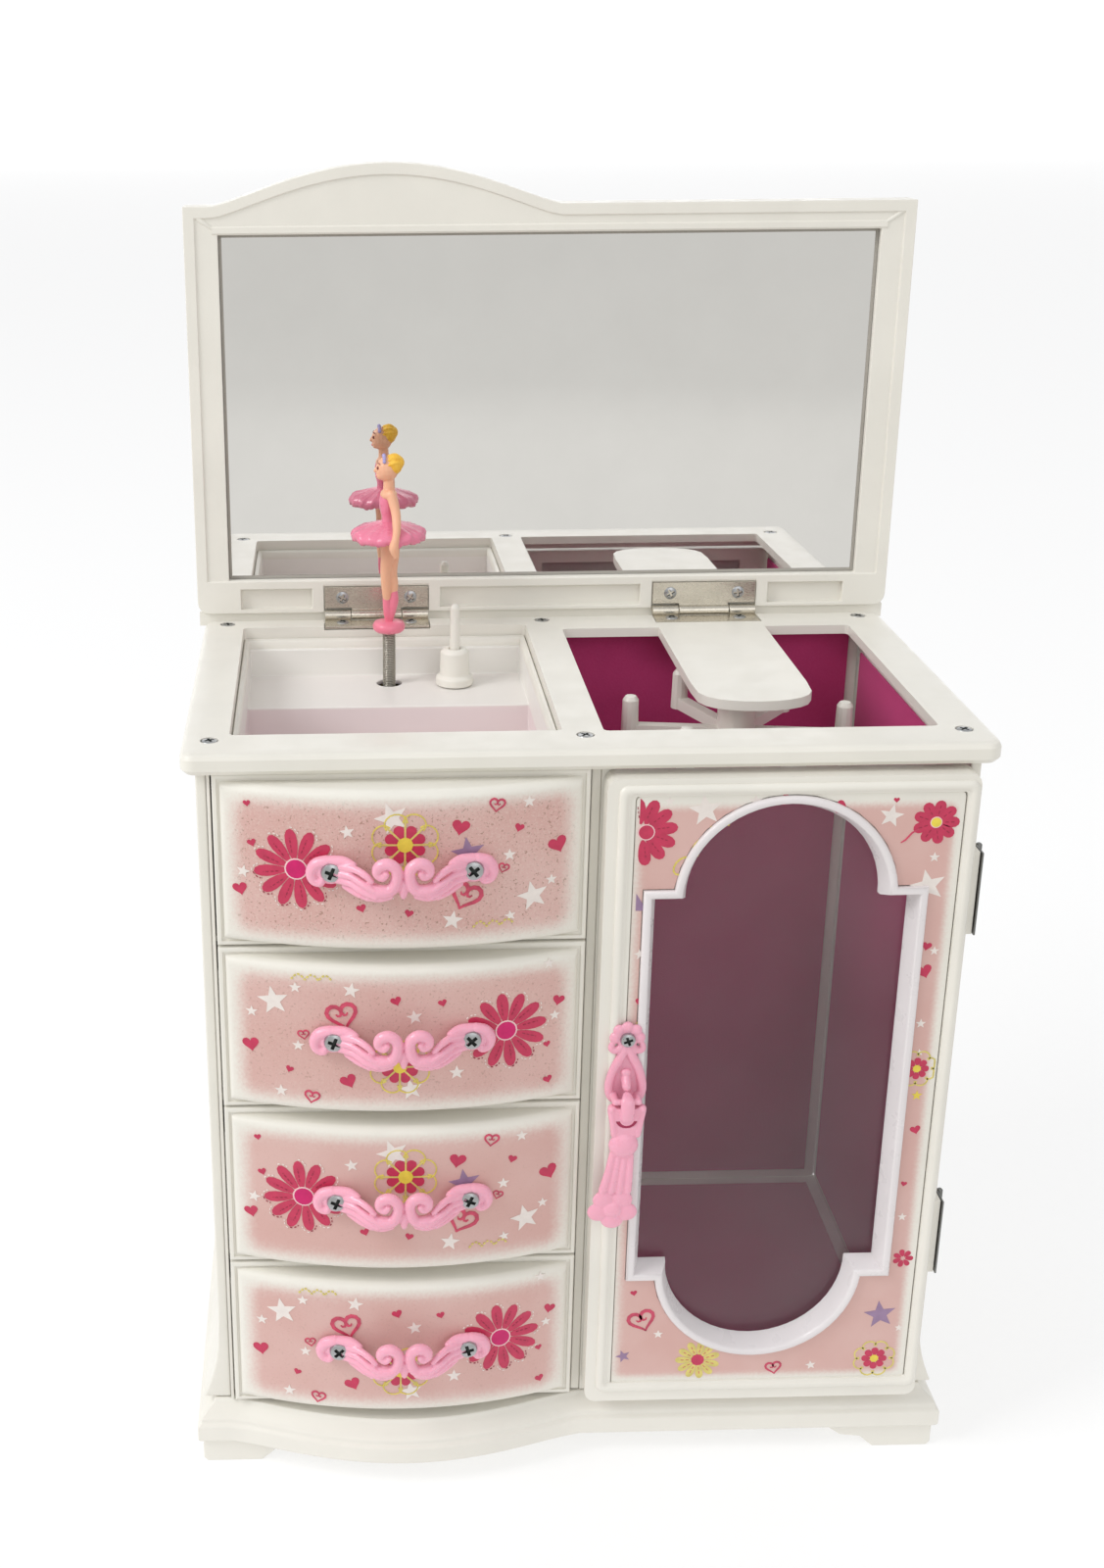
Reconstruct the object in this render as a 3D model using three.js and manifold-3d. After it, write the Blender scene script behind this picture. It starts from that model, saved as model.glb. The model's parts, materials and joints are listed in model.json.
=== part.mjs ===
// Upright musical jewellery box: cabinet with drawers, glazed door, mirror lid and a turning dancer.
// Millimetres, +X to the right, +Y to the back, +Z up. Heights are measured from the floor.
// Depths are measured from the deck's front edge; the whole box is centred on the origin at the end.
import * as THREE from 'three';
import { mergeVertices } from 'three/addons/utils/BufferGeometryUtils.js';
import Module from 'manifold-3d';

const wasm = await Module();
wasm.setup();

// ---------- driving dimensions ----------
const GAP = 0.3; // clearance between touching pieces
const CENTRE_Y = 61.51; // middle of the whole depth, from the handles to the lid's back
const DECK = { half: 107.5, depth: 125, top: 226.5, bottom: 220.5, corner: 4 };
const CABINET = { half: 103.9, front: 6, back: 121, wall: 3, floor: 20, top: 220.2 };
const BASE = { half: 111, front: 0.5, back: 125, bandLow: 7.6, top: 20 };
const BOW = { left: -101, right: 3, depth: 11.5 }; // the bulge shared by base, drawers and lid
const LEVELS = [21, 70, 121, 170.5, 220.5]; // boundaries between the drawers, bottom to top
const DIVIDER = { left: 0.5, right: 3.1 };
const FACE = { left: -99.5, right: 0, ends: 2.8, bulge: 9.6, back: 5.6, shell: 2.4 };
const TRAY = { left: -93, right: -8.4, front: 17.5, back: 112, floor: 196, step: 211.5, stepFront: 81 };
const WELL = { left: 4.6, right: 94.2, front: 14.5, back: 109.5 };
const TONGUE = { left: 34.8, right: 68, tip: 36.6, straight: 54 };
const LID = { half: 109.8, height: 125.4, thick: 11, face: 0.6, lean: 0.9, arch: 12 };
const HINGE = { y: 125, z: 227.5, lefts: [-69.4, 35.2], width: 32.8 };
const MIRROR = { half: 99.3, low: 11.7, high: 116.8, face: 4.1, back: 6.6 };
const DOOR = { left: 3.6, right: 101.5, low: 22.4, high: 219, front: -2.4, back: 5.2 };
const SHEET = { left: 11, right: 98, low: 26, high: 214.5, front: -2.1, back: -1.5 };
const WINDOW = { x: 52.2, half: 34.7, arc: 26.6, low: 68, high: 184 };
const DOOR_HINGE = { x: 105.3, y: 5.7, lows: [64, 172], length: 24 };
const HANDLE = { x: -50, half: 18.5, stand: 8 };
const SPINDLE = { x: -49.7, y: 104, radius: 1.2 };
const ROD = { x: -29.5, y: 101.6, top: 237.3, low: 206 };
const CAROUSEL = { x: 51.3, y: 66.5, radius: 31, arms: 6, turn: -8, z: 205 };
const DRUM = { x: -72, z: 189, radius: 12, front: 101, back: 113 };
const CYLINDER = { left: -57, right: -38, y: 104, z: 189, radius: 6.2 };

// ---------- materials ----------
const material = (color, roughness, metalness = 0, opacity = 1) =>
  new THREE.MeshStandardMaterial({ color, roughness, metalness, opacity, transparent: opacity < 1 });
const cream = () => material(0xf1eee4, 0.38);
const rose = () => material(0xf3a9cf, 0.3);
const print = () => material(0xe7bcb4, 0.5);
const felt = () => material(0x8a2257, 0.95);
const nickel = () => material(0xa9a294, 0.3, 1);
const steel = () => material(0xc4c6c8, 0.3, 1);
const brass = () => material(0xc2a35a, 0.35, 1);
const glass = () => material(0xd9d3d6, 0.06, 0, 0.3);
const silver = () => material(0xd4d4d2, 0.04, 1);

// ---------- solids ----------
function toSolid(geometry) {
  const bare = geometry.clone();
  for (const name of Object.keys(bare.attributes)) {
    if (name !== 'position') bare.deleteAttribute(name);
  }
  const merged = mergeVertices(bare, 1e-4);
  return new wasm.Manifold(new wasm.Mesh({
    numProp: 3,
    vertProperties: new Float32Array(merged.attributes.position.array),
    triVerts: new Uint32Array(merged.index.array),
  }));
}

function toGeometry(solid) {
  const mesh = solid.getMesh();
  const geometry = new THREE.BufferGeometry();
  geometry.setAttribute('position', new THREE.BufferAttribute(mesh.vertProperties, 3));
  geometry.setIndex(new THREE.BufferAttribute(mesh.triVerts, 1));
  geometry.computeVertexNormals();
  return geometry;
}

const join = (...pieces) => pieces.reduce((whole, piece) => whole.add(piece));
const cut = (solid, ...holes) => holes.reduce((rest, hole) => rest.subtract(hole), solid);

function block(x, y, z) {
  const geometry = new THREE.BoxGeometry(x[1] - x[0], y[1] - y[0], z[1] - z[0]);
  geometry.translate((x[0] + x[1]) / 2, (y[0] + y[1]) / 2, (z[0] + z[1]) / 2);
  return toSolid(geometry);
}

// A plan outline raised from z[0] to z[1].
function prism(points, z) {
  const shape = new THREE.Shape(points.map(([x, y]) => new THREE.Vector2(x, y)));
  const geometry = new THREE.ExtrudeGeometry(shape, { depth: z[1] - z[0], bevelEnabled: false });
  geometry.translate(0, 0, z[0]);
  return toSolid(geometry);
}

// An outline seen from the front, (x, z) points, running from depth y[0] to y[1].
function slab(points, y) {
  const shape = new THREE.Shape(points.map(([x, z]) => new THREE.Vector2(x, z)));
  const geometry = new THREE.ExtrudeGeometry(shape, { depth: y[1] - y[0], bevelEnabled: false });
  geometry.rotateX(Math.PI / 2);
  geometry.translate(0, y[1], 0);
  return toSolid(geometry);
}

// An outline seen from the right side, (y, z) points, running from x[0] to x[1].
function profile(points, x) {
  const shape = new THREE.Shape(points.map(([y, z]) => new THREE.Vector2(y, z)));
  const geometry = new THREE.ExtrudeGeometry(shape, { depth: x[1] - x[0], bevelEnabled: false });
  geometry.rotateX(Math.PI / 2);
  geometry.rotateZ(Math.PI / 2);
  geometry.translate(x[0], 0, 0);
  return toSolid(geometry);
}

// A body of revolution about a line along `axis` through `at`; rings are [radius, distance] pairs.
function turned(rings, at, axis = 'z', segments = 20) {
  const points = rings.map(([radius, along]) => new THREE.Vector2(radius, along));
  const geometry = new THREE.LatheGeometry(points, segments);
  if (axis === 'z') geometry.rotateX(Math.PI / 2);
  if (axis === 'x') geometry.rotateZ(-Math.PI / 2);
  geometry.translate(...at);
  return toSolid(geometry);
}

function rod(radius, from, to, at, axis = 'z', segments = 20) {
  return turned([[0, from], [radius, from], [radius, to], [0, to]], at, axis, segments);
}

// Plan or front outlines stacked into one skin: each section is {points, z}, all with equal counts.
function loft(sections) {
  const count = sections[0].points.length;
  const positions = sections.flatMap(({ points, z }) => points.flatMap(([x, y]) => [x, y, z]));
  const index = [];
  for (let s = 0; s + 1 < sections.length; s += 1) {
    for (let i = 0; i < count; i += 1) {
      const a = s * count + i;
      const b = s * count + ((i + 1) % count);
      index.push(a, b, b + count, a, b + count, a + count);
    }
  }
  const cap = (section, base, flip) => {
    const contour = section.points.map(([x, y]) => new THREE.Vector2(x, y));
    for (const [a, b, c] of THREE.ShapeUtils.triangulateShape(contour, [])) {
      index.push(...(flip ? [base + c, base + b, base + a] : [base + a, base + b, base + c]));
    }
  };
  cap(sections[0], 0, true);
  cap(sections.at(-1), (sections.length - 1) * count, false);
  const geometry = new THREE.BufferGeometry();
  geometry.setAttribute('position', new THREE.Float32BufferAttribute(positions, 3));
  geometry.setIndex(index);
  return toSolid(geometry);
}

// Points of an arc about (x, y), angles in degrees.
function arc(x, y, radius, from, to, steps) {
  return Array.from({ length: steps + 1 }, (_, i) => {
    const angle = THREE.MathUtils.degToRad(from + ((to - from) * i) / steps);
    return [x + radius * Math.cos(angle), y + radius * Math.sin(angle)];
  });
}

function roundedRectangle(x, y, radius, steps = 3) {
  return [
    ...arc(x[1] - radius, y[0] + radius, radius, -90, 0, steps),
    ...arc(x[1] - radius, y[1] - radius, radius, 0, 90, steps),
    ...arc(x[0] + radius, y[1] - radius, radius, 90, 180, steps),
    ...arc(x[0] + radius, y[0] + radius, radius, 180, 270, steps),
  ];
}

// Height of the soft-ended bulge at x.
function bulge(x, depth = BOW.depth) {
  const t = (2 * x - BOW.left - BOW.right) / (BOW.right - BOW.left);
  return Math.abs(t) < 1 ? depth * (1 - t * t) ** 1.3 : 0;
}

function bowSteps(steps) {
  return Array.from({ length: steps + 1 }, (_, i) => BOW.left + ((BOW.right - BOW.left) * i) / steps);
}

// ---------- the model ----------
const box = new THREE.Group();
box.position.y = -CENTRE_Y;

function add(name, solid, finish, group = box) {
  const mesh = new THREE.Mesh(toGeometry(solid), finish);
  mesh.name = name;
  group.add(mesh);
}

// Base: bowed moulding on four bracket feet, hollow underneath.
function basePlinth() {
  const outline = (inset) => {
    const half = BASE.half - inset;
    const front = BASE.front + inset;
    return [
      [-half, BASE.back - inset], [-half, front],
      ...bowSteps(18).map((x) => [x, front - bulge(x)]),
      [half, front], [half, BASE.back - inset],
    ];
  };
  const steps = [[BASE.bandLow, 1], [8.6, 0], [13.4, 0], [14.4, 1.1], [15.4, 1.1], [17, 2.4], [18.4, 4.4], [BASE.top, 5.3]];
  const band = loft(steps.map(([z, inset]) => ({ points: outline(inset), z })));
  const hollow = block([-104, 104], [8, 121], [0, 17.5]);
  const edge = BASE.half - 1.4;
  const reach = BASE.bandLow + 0.4;
  const foot = [[edge, reach], [edge, 1.2], [edge - 1.2, 0], [92, 0], [88, 3.6], [82, 4.4], [77, reach]];
  const frontEdge = BASE.front + 1.6;
  const side = [[frontEdge, 0], [24, 0], [28, 3.6], [33, 4.4], [38, reach], [frontEdge, reach]];
  const mirrored = (points, about) => points.map(([a, b]) => [2 * about - a, b]).reverse();
  const middle = (BASE.front + BASE.back) / 2;
  const feet = [];
  for (const front of [foot, mirrored(foot, 0)]) {
    for (const flank of [side, mirrored(side, middle)]) {
      const across = slab(front, [0, BASE.back]);
      feet.push(across.intersect(profile(flank, [-BASE.half, BASE.half])));
    }
  }
  add('base_plinth', join(cut(band, hollow), ...feet), cream());
}

// Side panels whose foot flares out to the base.
function sidePanels() {
  const flare = (z) => 5.4 * Math.max(0, (46 - z) / 26) ** 2.2;
  const heights = [CABINET.floor + GAP, 23, 26, 29, 33, 38, 46, CABINET.top];
  const outer = heights.map((z) => [CABINET.half + flare(z), z]);
  const inner = CABINET.half - CABINET.wall;
  const right = [[inner, CABINET.floor + GAP], ...outer, [inner, CABINET.top]];
  const left = right.map(([x, z]) => [-x, z]).reverse();
  const depth = [CABINET.front, CABINET.back];
  add('left_side_panel', slab(left, depth), cream());
  add('right_side_panel', slab(right, depth), cream());
}

function innerPanels() {
  const inner = CABINET.half - CABINET.wall - GAP;
  const rise = [CABINET.floor + GAP, CABINET.top];
  const keyHole = rod(4, 110, 130, [DRUM.x, 0, DRUM.z], 'y');
  add('back_panel', cut(block([-inner, inner], [118, CABINET.back], rise), keyHole), cream());
  add('centre_divider', block([DIVIDER.left, DIVIDER.right], [CABINET.front, 117.7], rise), cream());
  for (const [i, level] of LEVELS.slice(1, 4).entries()) {
    const shelf = block([-inner, DIVIDER.left - GAP], [8, 117.7], [level - 0.8, level + 0.8]);
    add(`drawer_shelf_${3 - i}`, shelf, cream());
  }
}

// Felt cards lining the tall necklace well, stopping short of its corners.
function wellLiners() {
  const right = CABINET.half - CABINET.wall - GAP;
  const left = DIVIDER.right + GAP;
  const rise = [24, 216];
  const thick = 0.6;
  add('well_liner_back', block([left + 3.6, right - 3.6], [117.7 - thick, 117.7], rise), felt());
  add('well_liner_right', block([right - thick, right], [9.5, 113.6], rise), felt());
  add('well_liner_left', block([left, left + thick], [9.5, 113.6], rise), felt());
  const level = CABINET.floor + GAP;
  add('well_liner_floor', block([left + 3.6, right - 3.6], [9.5, 113.6], [level, level + thick]), felt());
}

// Deck: a slab with a tray opening, a well opening and the tongue that holds the carousel.
function topDeck() {
  const outline = (inset) => roundedRectangle(
    [-DECK.half + inset, DECK.half - inset], [inset, DECK.depth - inset], DECK.corner - inset, 4);
  const steps = [[DECK.bottom, 1.4], [DECK.bottom + 1.4, 0], [DECK.top - 1.6, 0], [DECK.top - 0.5, 0.6], [DECK.top, 1.8]];
  const body = loft(steps.map(([z, inset]) => ({ points: outline(inset), z })));
  const through = [DECK.bottom - 1, DECK.top + 1];
  const trayHole = prism(roundedRectangle([-95, -6.4], [15.5, 115.5], 1.5), through);
  const wellHole = prism(roundedRectangle([WELL.left, WELL.right], [WELL.front, WELL.back], 1.5), through);
  const middle = (TONGUE.left + TONGUE.right) / 2;
  const reach = (TONGUE.right - TONGUE.left) / 2;
  const round = Array.from({ length: 13 }, (_, i) => {
    const angle = Math.PI + (Math.PI * i) / 12;
    const x = middle + reach * Math.cos(angle);
    return [x, TONGUE.straight + (TONGUE.straight - TONGUE.tip) * -Math.sqrt(Math.abs(Math.sin(angle)))];
  });
  const tongue = prism([[TONGUE.left, WELL.back + 1], ...round, [TONGUE.right, WELL.back + 1]], [DECK.bottom + 1, DECK.top]);
  const pivot = rod(1.3, DECK.bottom - 1, DECK.top - 1.5, [CAROUSEL.x, CAROUSEL.y, 0]);
  const seats = HINGE.lefts.flatMap((left) => [
    block([left - GAP, left + HINGE.width + GAP], [HINGE.y - 10, HINGE.y + 1], [HINGE.z - 2.2, DECK.top + 1]),
    block([left - GAP, left + HINGE.width + GAP], [HINGE.y - 2.4, HINGE.y + 1], [HINGE.z - 2.6, DECK.top + 1]),
  ]);
  const screws = deckScrewPlaces().flatMap(([x, y]) => [
    rod(1.3, DECK.bottom + 0.6, DECK.top + 1, [x, y, 0], 'z', 12),
    rod(2.5, DECK.top - 1, DECK.top + 1, [x, y, 0], 'z', 12),
  ]);
  add('top_deck', cut(join(cut(body, trayHole, wellHole), tongue), pivot, ...seats, ...screws), cream());
}

function deckScrewPlaces() {
  return [-100.1, -0.7, 100.1].flatMap((x) => [[x, 11.7], [x, 119.9]]);
}

function deckScrews() {
  for (const [i, [x, y]] of deckScrewPlaces().entries()) {
    const head = [[0, DECK.top - 5], [1, DECK.top - 5], [1, DECK.top - 0.7], [2.2, DECK.top - 0.7], [1.9, DECK.top], [0, DECK.top + 0.3]];
    add(`deck_screw_${i + 1}`, turned(head, [x, y, 0], 'z', 12), steel());
  }
}

// Music tray: one moulding with a low front floor and a raised block over the movement.
function musicTray() {
  const wall = 1.5;
  const { left, right, front, back, floor, step, stepFront } = TRAY;
  const top = DECK.bottom - GAP;
  const section = [
    [front - wall, top], [front - wall, floor - wall], [stepFront + wall, floor - wall], [stepFront + wall, step - wall],
    [back + wall, step - wall], [back + wall, top], [back, top], [back, step], [stepFront, step],
    [stepFront, floor], [front, floor], [front, top],
  ].reverse();
  const sheet = profile(section, [left - wall, right + wall]);
  const end = [[front - wall, floor - wall], [stepFront + wall, floor - wall], [stepFront + wall, step - wall],
    [back + wall, step - wall], [back + wall, top], [front - wall, top]];
  const ends = [[left - wall, left], [right, right + wall]].map((x) => profile(end, x));
  const flange = cut(
    block([left - 4, right + 4], [front - 4, back + 4], [top - 1.2, top]),
    block([left, right], [front, back], [top - 2, top + 1]),
  );
  const spindleHole = rod(3.8, 200, 215, [SPINDLE.x, SPINDLE.y, 0]);
  const rodHole = rod(1.9, 200, 215, [ROD.x, ROD.y, 0], 'z', 12);
  add('music_tray', cut(join(sheet, ...ends, flange), spindleHole, rodHole), cream());
}

// A bowed shell with a flat back pocket: every drawer front and the false one.
function bowedFace(low, high) {
  const curve = (inset) => Array.from({ length: 17 }, (_, i) => {
    const x = FACE.left + inset + ((FACE.right - FACE.left - 2 * inset) * i) / 16;
    const t = (2 * x - FACE.left - FACE.right) / (FACE.right - FACE.left);
    return [x, FACE.ends + inset - FACE.bulge * (1 - t * t)];
  });
  const outline = (inset) => [[FACE.left + inset, FACE.back], ...curve(inset), [FACE.right - inset, FACE.back]];
  const shell = FACE.shell;
  const pocket = curve(shell).filter(([, y]) => y < FACE.back - shell);
  const first = pocket[0];
  const last = pocket.at(-1);
  const hollow = [[first[0], FACE.back + 1], ...pocket, [last[0], FACE.back + 1]];
  return cut(prism(outline(0), [low, high]), prism(hollow, [low + shell, high - shell]));
}

// Scroll handle: two screw pads and a grip that arches away from the bowed face.
function scrollHandle(z) {
  const face = (x) => {
    const t = (2 * x - FACE.left - FACE.right) / (FACE.right - FACE.left);
    return FACE.ends - FACE.bulge * (1 - t * t) - GAP;
  };
  const grip = new THREE.CatmullRomCurve3([-22, -HANDLE.half, -12, 0, 12, HANDLE.half, 22].map((x) => {
    const away = HANDLE.stand * Math.cos((Math.PI * x) / 44) ** 0.7;
    return new THREE.Vector3(HANDLE.x + x, face(HANDLE.x + x) - 1.4 - (Math.abs(x) > 18 ? 0.4 : away - 2.2), z - Math.abs(x) * 0.02);
  }));
  const section = new THREE.Shape(arc(0, 0, 1, 0, 324, 9).map(([a, b]) => new THREE.Vector2(a * 2.6, b * 1.5)));
  const bar = toSolid(new THREE.ExtrudeGeometry(section, { steps: 14, extrudePath: grip, bevelEnabled: false }));
  const pads = [-HANDLE.half, HANDLE.half].map((x) => {
    const y = face(HANDLE.x + x);
    return rod(3.4, y - 2.6, y - 0.6, [HANDLE.x + x, 0, z], 'y', 14);
  });
  return join(bar, ...pads);
}

function handleHeight(low, high) {
  return (low + high) / 2 - 1;
}

function fixedFront() {
  const [low, high] = [LEVELS[3] + 0.4, LEVELS[4] - GAP];
  add('top_fascia', bowedFace(low, high), print());
  add('fascia_handle', scrollHandle(handleHeight(low, high)), rose());
}

function drawers() {
  const inner = CABINET.half - CABINET.wall;
  const wall = 1.6;
  for (const number of [2, 3, 4]) {
    const level = LEVELS[4 - number];
    const next = LEVELS[5 - number];
    const [low, high] = [level + 0.4, next - 0.4];
    const sides = [-inner + 1, DIVIDER.left - 1];
    const depth = [FACE.back + GAP, 112];
    const outside = block(sides, depth, [level + 1.2, level + 41]);
    const inside = block([sides[0] + wall, sides[1] - wall], [depth[0] + wall, depth[1] - wall], [level + 1.2 + wall, level + 50]);
    add(`drawer_box_${number}`, cut(outside, inside), cream());
    add(`drawer_front_${number}`, bowedFace(low, high), print());
    add(`drawer_handle_${number}`, scrollHandle(handleHeight(low, high)), rose());
  }
}

// One leaf pair about an axis along local X. Leaf A runs to -Y, leaf B to +Y before it is folded up.
function hinge({ length, reach, radius, pin, levelA, levelB, fold }) {
  const thick = 0.8;
  const spans = [[0, length * 0.25], [length * 0.75, length]];
  const middle = [length * 0.25 + GAP, length * 0.75 - GAP];
  const clear = radius + 0.5;
  const knuckle = (x) => rod(radius, x[0], x[1], [0, 0, 0], 'x', 16);
  const leafA = join(
    block([0, length], [-reach, -clear], [levelA, levelA + thick]),
    ...spans.map((x) => block(x, [-clear - 0.2, 0], [levelA, levelA + thick])),
    ...spans.map(knuckle),
    rod(pin, 0, length, [0, 0, 0], 'x', 16),
  );
  const leafB = join(
    block([0, length], [clear, reach], [levelB, levelB + thick]),
    block(middle, [0, clear + 0.2], [levelB, levelB + thick]),
    knuckle(middle),
  );
  const bore = rod(pin + 0.06, -1, length + 1, [0, 0, 0], 'x', 16);
  return [toGeometry(leafA), toGeometry(cut(leafB, bore)).rotateX(THREE.MathUtils.degToRad(fold))];
}

function addLeaf(name, geometry, group, finish) {
  const mesh = new THREE.Mesh(geometry, finish);
  mesh.name = name;
  group.add(mesh);
}

// Lid, modelled upright from its hinge line and leaning back a little past vertical.
const lid = new THREE.Group();
lid.position.set(0, HINGE.y, HINGE.z);
lid.rotation.x = -THREE.MathUtils.degToRad(LID.lean);
box.add(lid);

function lidParts() {
  const low = LID.face + 0.2;
  const corner = 3.5;
  const scale = LID.arch / BOW.depth;
  const crest = bowSteps(20).reverse().map((x) => [x, LID.height + bulge(x) * scale]);
  const outline = [
    ...arc(-LID.half + corner, low + corner, corner, 180, 270, 4),
    ...arc(LID.half - corner, low + corner, corner, 270, 360, 4),
    [LID.half, LID.height], ...crest, [-LID.half, LID.height],
  ];
  const body = slab(outline, [LID.face, LID.face + LID.thick]);
  const recess = block([-MIRROR.half - GAP, MIRROR.half + GAP], [-1, MIRROR.back + GAP + 0.2], [MIRROR.low - GAP, MIRROR.high + GAP]);
  const [first, second] = HINGE.lefts;
  const channels = [[-96, first - 4], [first + HINGE.width + 4, second - 4], [second + HINGE.width + 4, 96]]
    .map((x) => block(x, [-1, LID.face + 2.2], [2, 8.6]));
  const seats = HINGE.lefts.flatMap((left) => [
    block([left - GAP, left + HINGE.width + GAP], [-1, 1.4], [-1, 9.6]),
    block([left - GAP, left + HINGE.width + GAP], [-1, 2.4], [-1, 2.4]),
  ]);
  add('lid_frame', cut(body, recess, ...channels, ...seats), cream(), lid);
  add('lid_mirror', block([-MIRROR.half, MIRROR.half], [MIRROR.face, MIRROR.back], [MIRROR.low, MIRROR.high]), silver(), lid);
}

function lidHinges() {
  for (const [i, left] of HINGE.lefts.entries()) {
    const [leafA, leafB] = hinge({ length: HINGE.width, reach: 9, radius: 1.7, pin: 0.7, levelA: -1.9, levelB: -1.1, fold: 90 });
    const side = ['left', 'right'][i];
    addLeaf(`lid_hinge_${side}_deck_leaf`, leafA.translate(left, HINGE.y, HINGE.z), box, nickel());
    addLeaf(`lid_hinge_${side}_lid_leaf`, leafB.translate(left, 0, 0), lid, nickel());
  }
}

// Outline of the door's window: straight flanks between two round ends, grown by `grow`.
function windowOutline(grow) {
  const half = WINDOW.half + grow;
  const radius = WINDOW.arc + grow;
  const step = grow;
  return [
    [WINDOW.x + half, WINDOW.low - step], [WINDOW.x + half, WINDOW.high + step],
    ...arc(WINDOW.x, WINDOW.high, radius, Math.asin(step / radius) * 57.3, 180 - Math.asin(step / radius) * 57.3, 14),
    [WINDOW.x - half, WINDOW.high + step], [WINDOW.x - half, WINDOW.low - step],
    ...arc(WINDOW.x, WINDOW.low, radius, 180 + Math.asin(step / radius) * 57.3, 360 - Math.asin(step / radius) * 57.3, 14),
  ];
}

function sheetSolid(shrink, y) {
  const sheet = roundedRectangle([SHEET.left + shrink, SHEET.right - shrink], [SHEET.low + shrink, SHEET.high - shrink], 1.5);
  return cut(slab(sheet, y), slab(windowOutline(3.2 + shrink), [y[0] - 1, y[1] + 1]));
}

function doorParts() {
  const slabOutline = roundedRectangle([DOOR.left, DOOR.right], [DOOR.low, DOOR.high], 3);
  const body = slab(slabOutline, [DOOR.front, DOOR.back]);
  const lugs = DOOR_HINGE.lows.map((z) =>
    block([DOOR.right - 1, CABINET.half - 0.2], [DOOR.front + 2, DOOR.back], [z, z + DOOR_HINGE.length]));
  const opening = slab(windowOutline(0), [DOOR.front - 1, DOOR.back + 1]);
  const printSeat = sheetSolid(0, [DOOR.front - 1, SHEET.back + GAP]);
  const pane = { x: [WINDOW.x - 38, WINDOW.x + 38], z: [38, 214], y: [3.1, 4.6] };
  const grow = (range, by) => [range[0] - by, range[1] + by];
  const paneSeat = block(grow(pane.x, GAP), [pane.y[0] - GAP, DOOR.back + 1], grow(pane.z, GAP));
  add('door_frame', cut(join(body, ...lugs), opening, printSeat, paneSeat), cream());
  add('door_print_sheet', sheetSolid(GAP, [SHEET.front, SHEET.back]), print());
  add('door_window_pane', block(pane.x, pane.y, pane.z), glass());
}

function doorHinges() {
  const upright = new THREE.Matrix4().makeBasis(
    new THREE.Vector3(0, 0, 1), new THREE.Vector3(0, -1, 0), new THREE.Vector3(1, 0, 0));
  for (const [i, low] of DOOR_HINGE.lows.entries()) {
    const leaves = hinge({ length: DOOR_HINGE.length, reach: 7, radius: 1.3, pin: 0.55, levelA: -1.3, levelB: -1.3, fold: 0 });
    for (const [j, leaf] of leaves.entries()) {
      const place = leaf.applyMatrix4(upright).translate(DOOR_HINGE.x, DOOR_HINGE.y, low);
      addLeaf(`door_hinge_${['lower', 'upper'][i]}_${['cabinet', 'door'][j]}_leaf`, place, box, steel());
    }
  }
}

// Door pull: a teardrop plate with a cross bar, and a tassel hanging from the bar.
function doorPull() {
  const x = 12;
  const bar = { y: -7.8, z: 126.5 };
  const front = DOOR.front - GAP;
  const plate = slab([
    ...arc(x, 142, 4.4, 0, 180, 8), [x - 3.2, 134], ...arc(x, 122, 6, 160, 380, 10), [x + 3.2, 134],
  ], [front - 2, front]);
  const tail = slab([[x - 3.5, 118], [x, 111.5], [x + 3.5, 118]], [front - 2, front]);
  const lugs = [[x - 3.6, x - 2], [x + 2, x + 3.6]].map((span) => block(span, [bar.y - 1.3, front - 1], [bar.z - 1.3, bar.z + 1.3]));
  const crossBar = rod(0.8, x - 3.6, x + 3.6, [0, bar.y, bar.z], 'x', 12);
  add('door_handle_plate', join(plate, tail, ...lugs, crossBar), rose());
  const eye = rod(2.1, x - 1.4, x + 1.4, [0, bar.y, bar.z], 'x', 16);
  const strap = block([x - 1.4, x + 1.4], [bar.y - 0.8, bar.y + 0.8], [110, bar.z - 1.2]);
  const knob = turned([[0, 107], [2.4, 108], [3.1, 110], [2.4, 112], [0, 113]], [x, bar.y, 0], 'z', 12);
  const skirt = slab([[x - 2, 109], [x - 4.8, 92], [x + 4.8, 92], [x + 2, 109]], [bar.y - 1.1, bar.y + 1.1]);
  const flower = rod(7, bar.y - 1.1, bar.y + 1.1, [x, 0, 87.5], 'y', 20);
  const bore = rod(1.1, x - 2, x + 2, [0, bar.y, bar.z], 'x', 16);
  add('door_handle_tassel', cut(join(eye, strap, knob, skirt, flower), bore), rose());
}

// Necklace carousel: a hub under the tongue with radial arms, each ending in an upright peg.
function carousel() {
  const { x, y, z, radius, arms, turn } = CAROUSEL;
  const hub = turned([[0, z - 3], [5.6, z - 3], [5.6, z + 9], [6.4, 220], [0, 220]], [x, y, 0], 'z', 20);
  const pieces = [hub];
  for (let i = 0; i < arms; i += 1) {
    const angle = THREE.MathUtils.degToRad((360 * i) / arms + turn);
    const [c, s] = [Math.cos(angle), Math.sin(angle)];
    const side = [-s * 1.7, c * 1.7];
    const end = [x + radius * c, y + radius * s];
    const arm = [[x + side[0], y + side[1]], [x - side[0], y - side[1]], [end[0] - side[0], end[1] - side[1]], [end[0] + side[0], end[1] + side[1]]];
    pieces.push(prism(arm, [z, z + 3.6]));
    pieces.push(turned([[0, z], [2.6, z], [2.4, 216], [1.6, 217.2], [0, 217.4]], [...end, 0], 'z', 12));
  }
  const bore = rod(1.28, z + 2, 221, [x, y, 0]);
  add('necklace_carousel', cut(join(...pieces), bore), cream());
  const pivot = turned([[0, z + 4], [1.2, z + 4], [1.2, DECK.top - 2], [0, DECK.top - 2]], [x, y, 0]);
  add('carousel_pivot_pin', pivot, steel());
}

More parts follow.
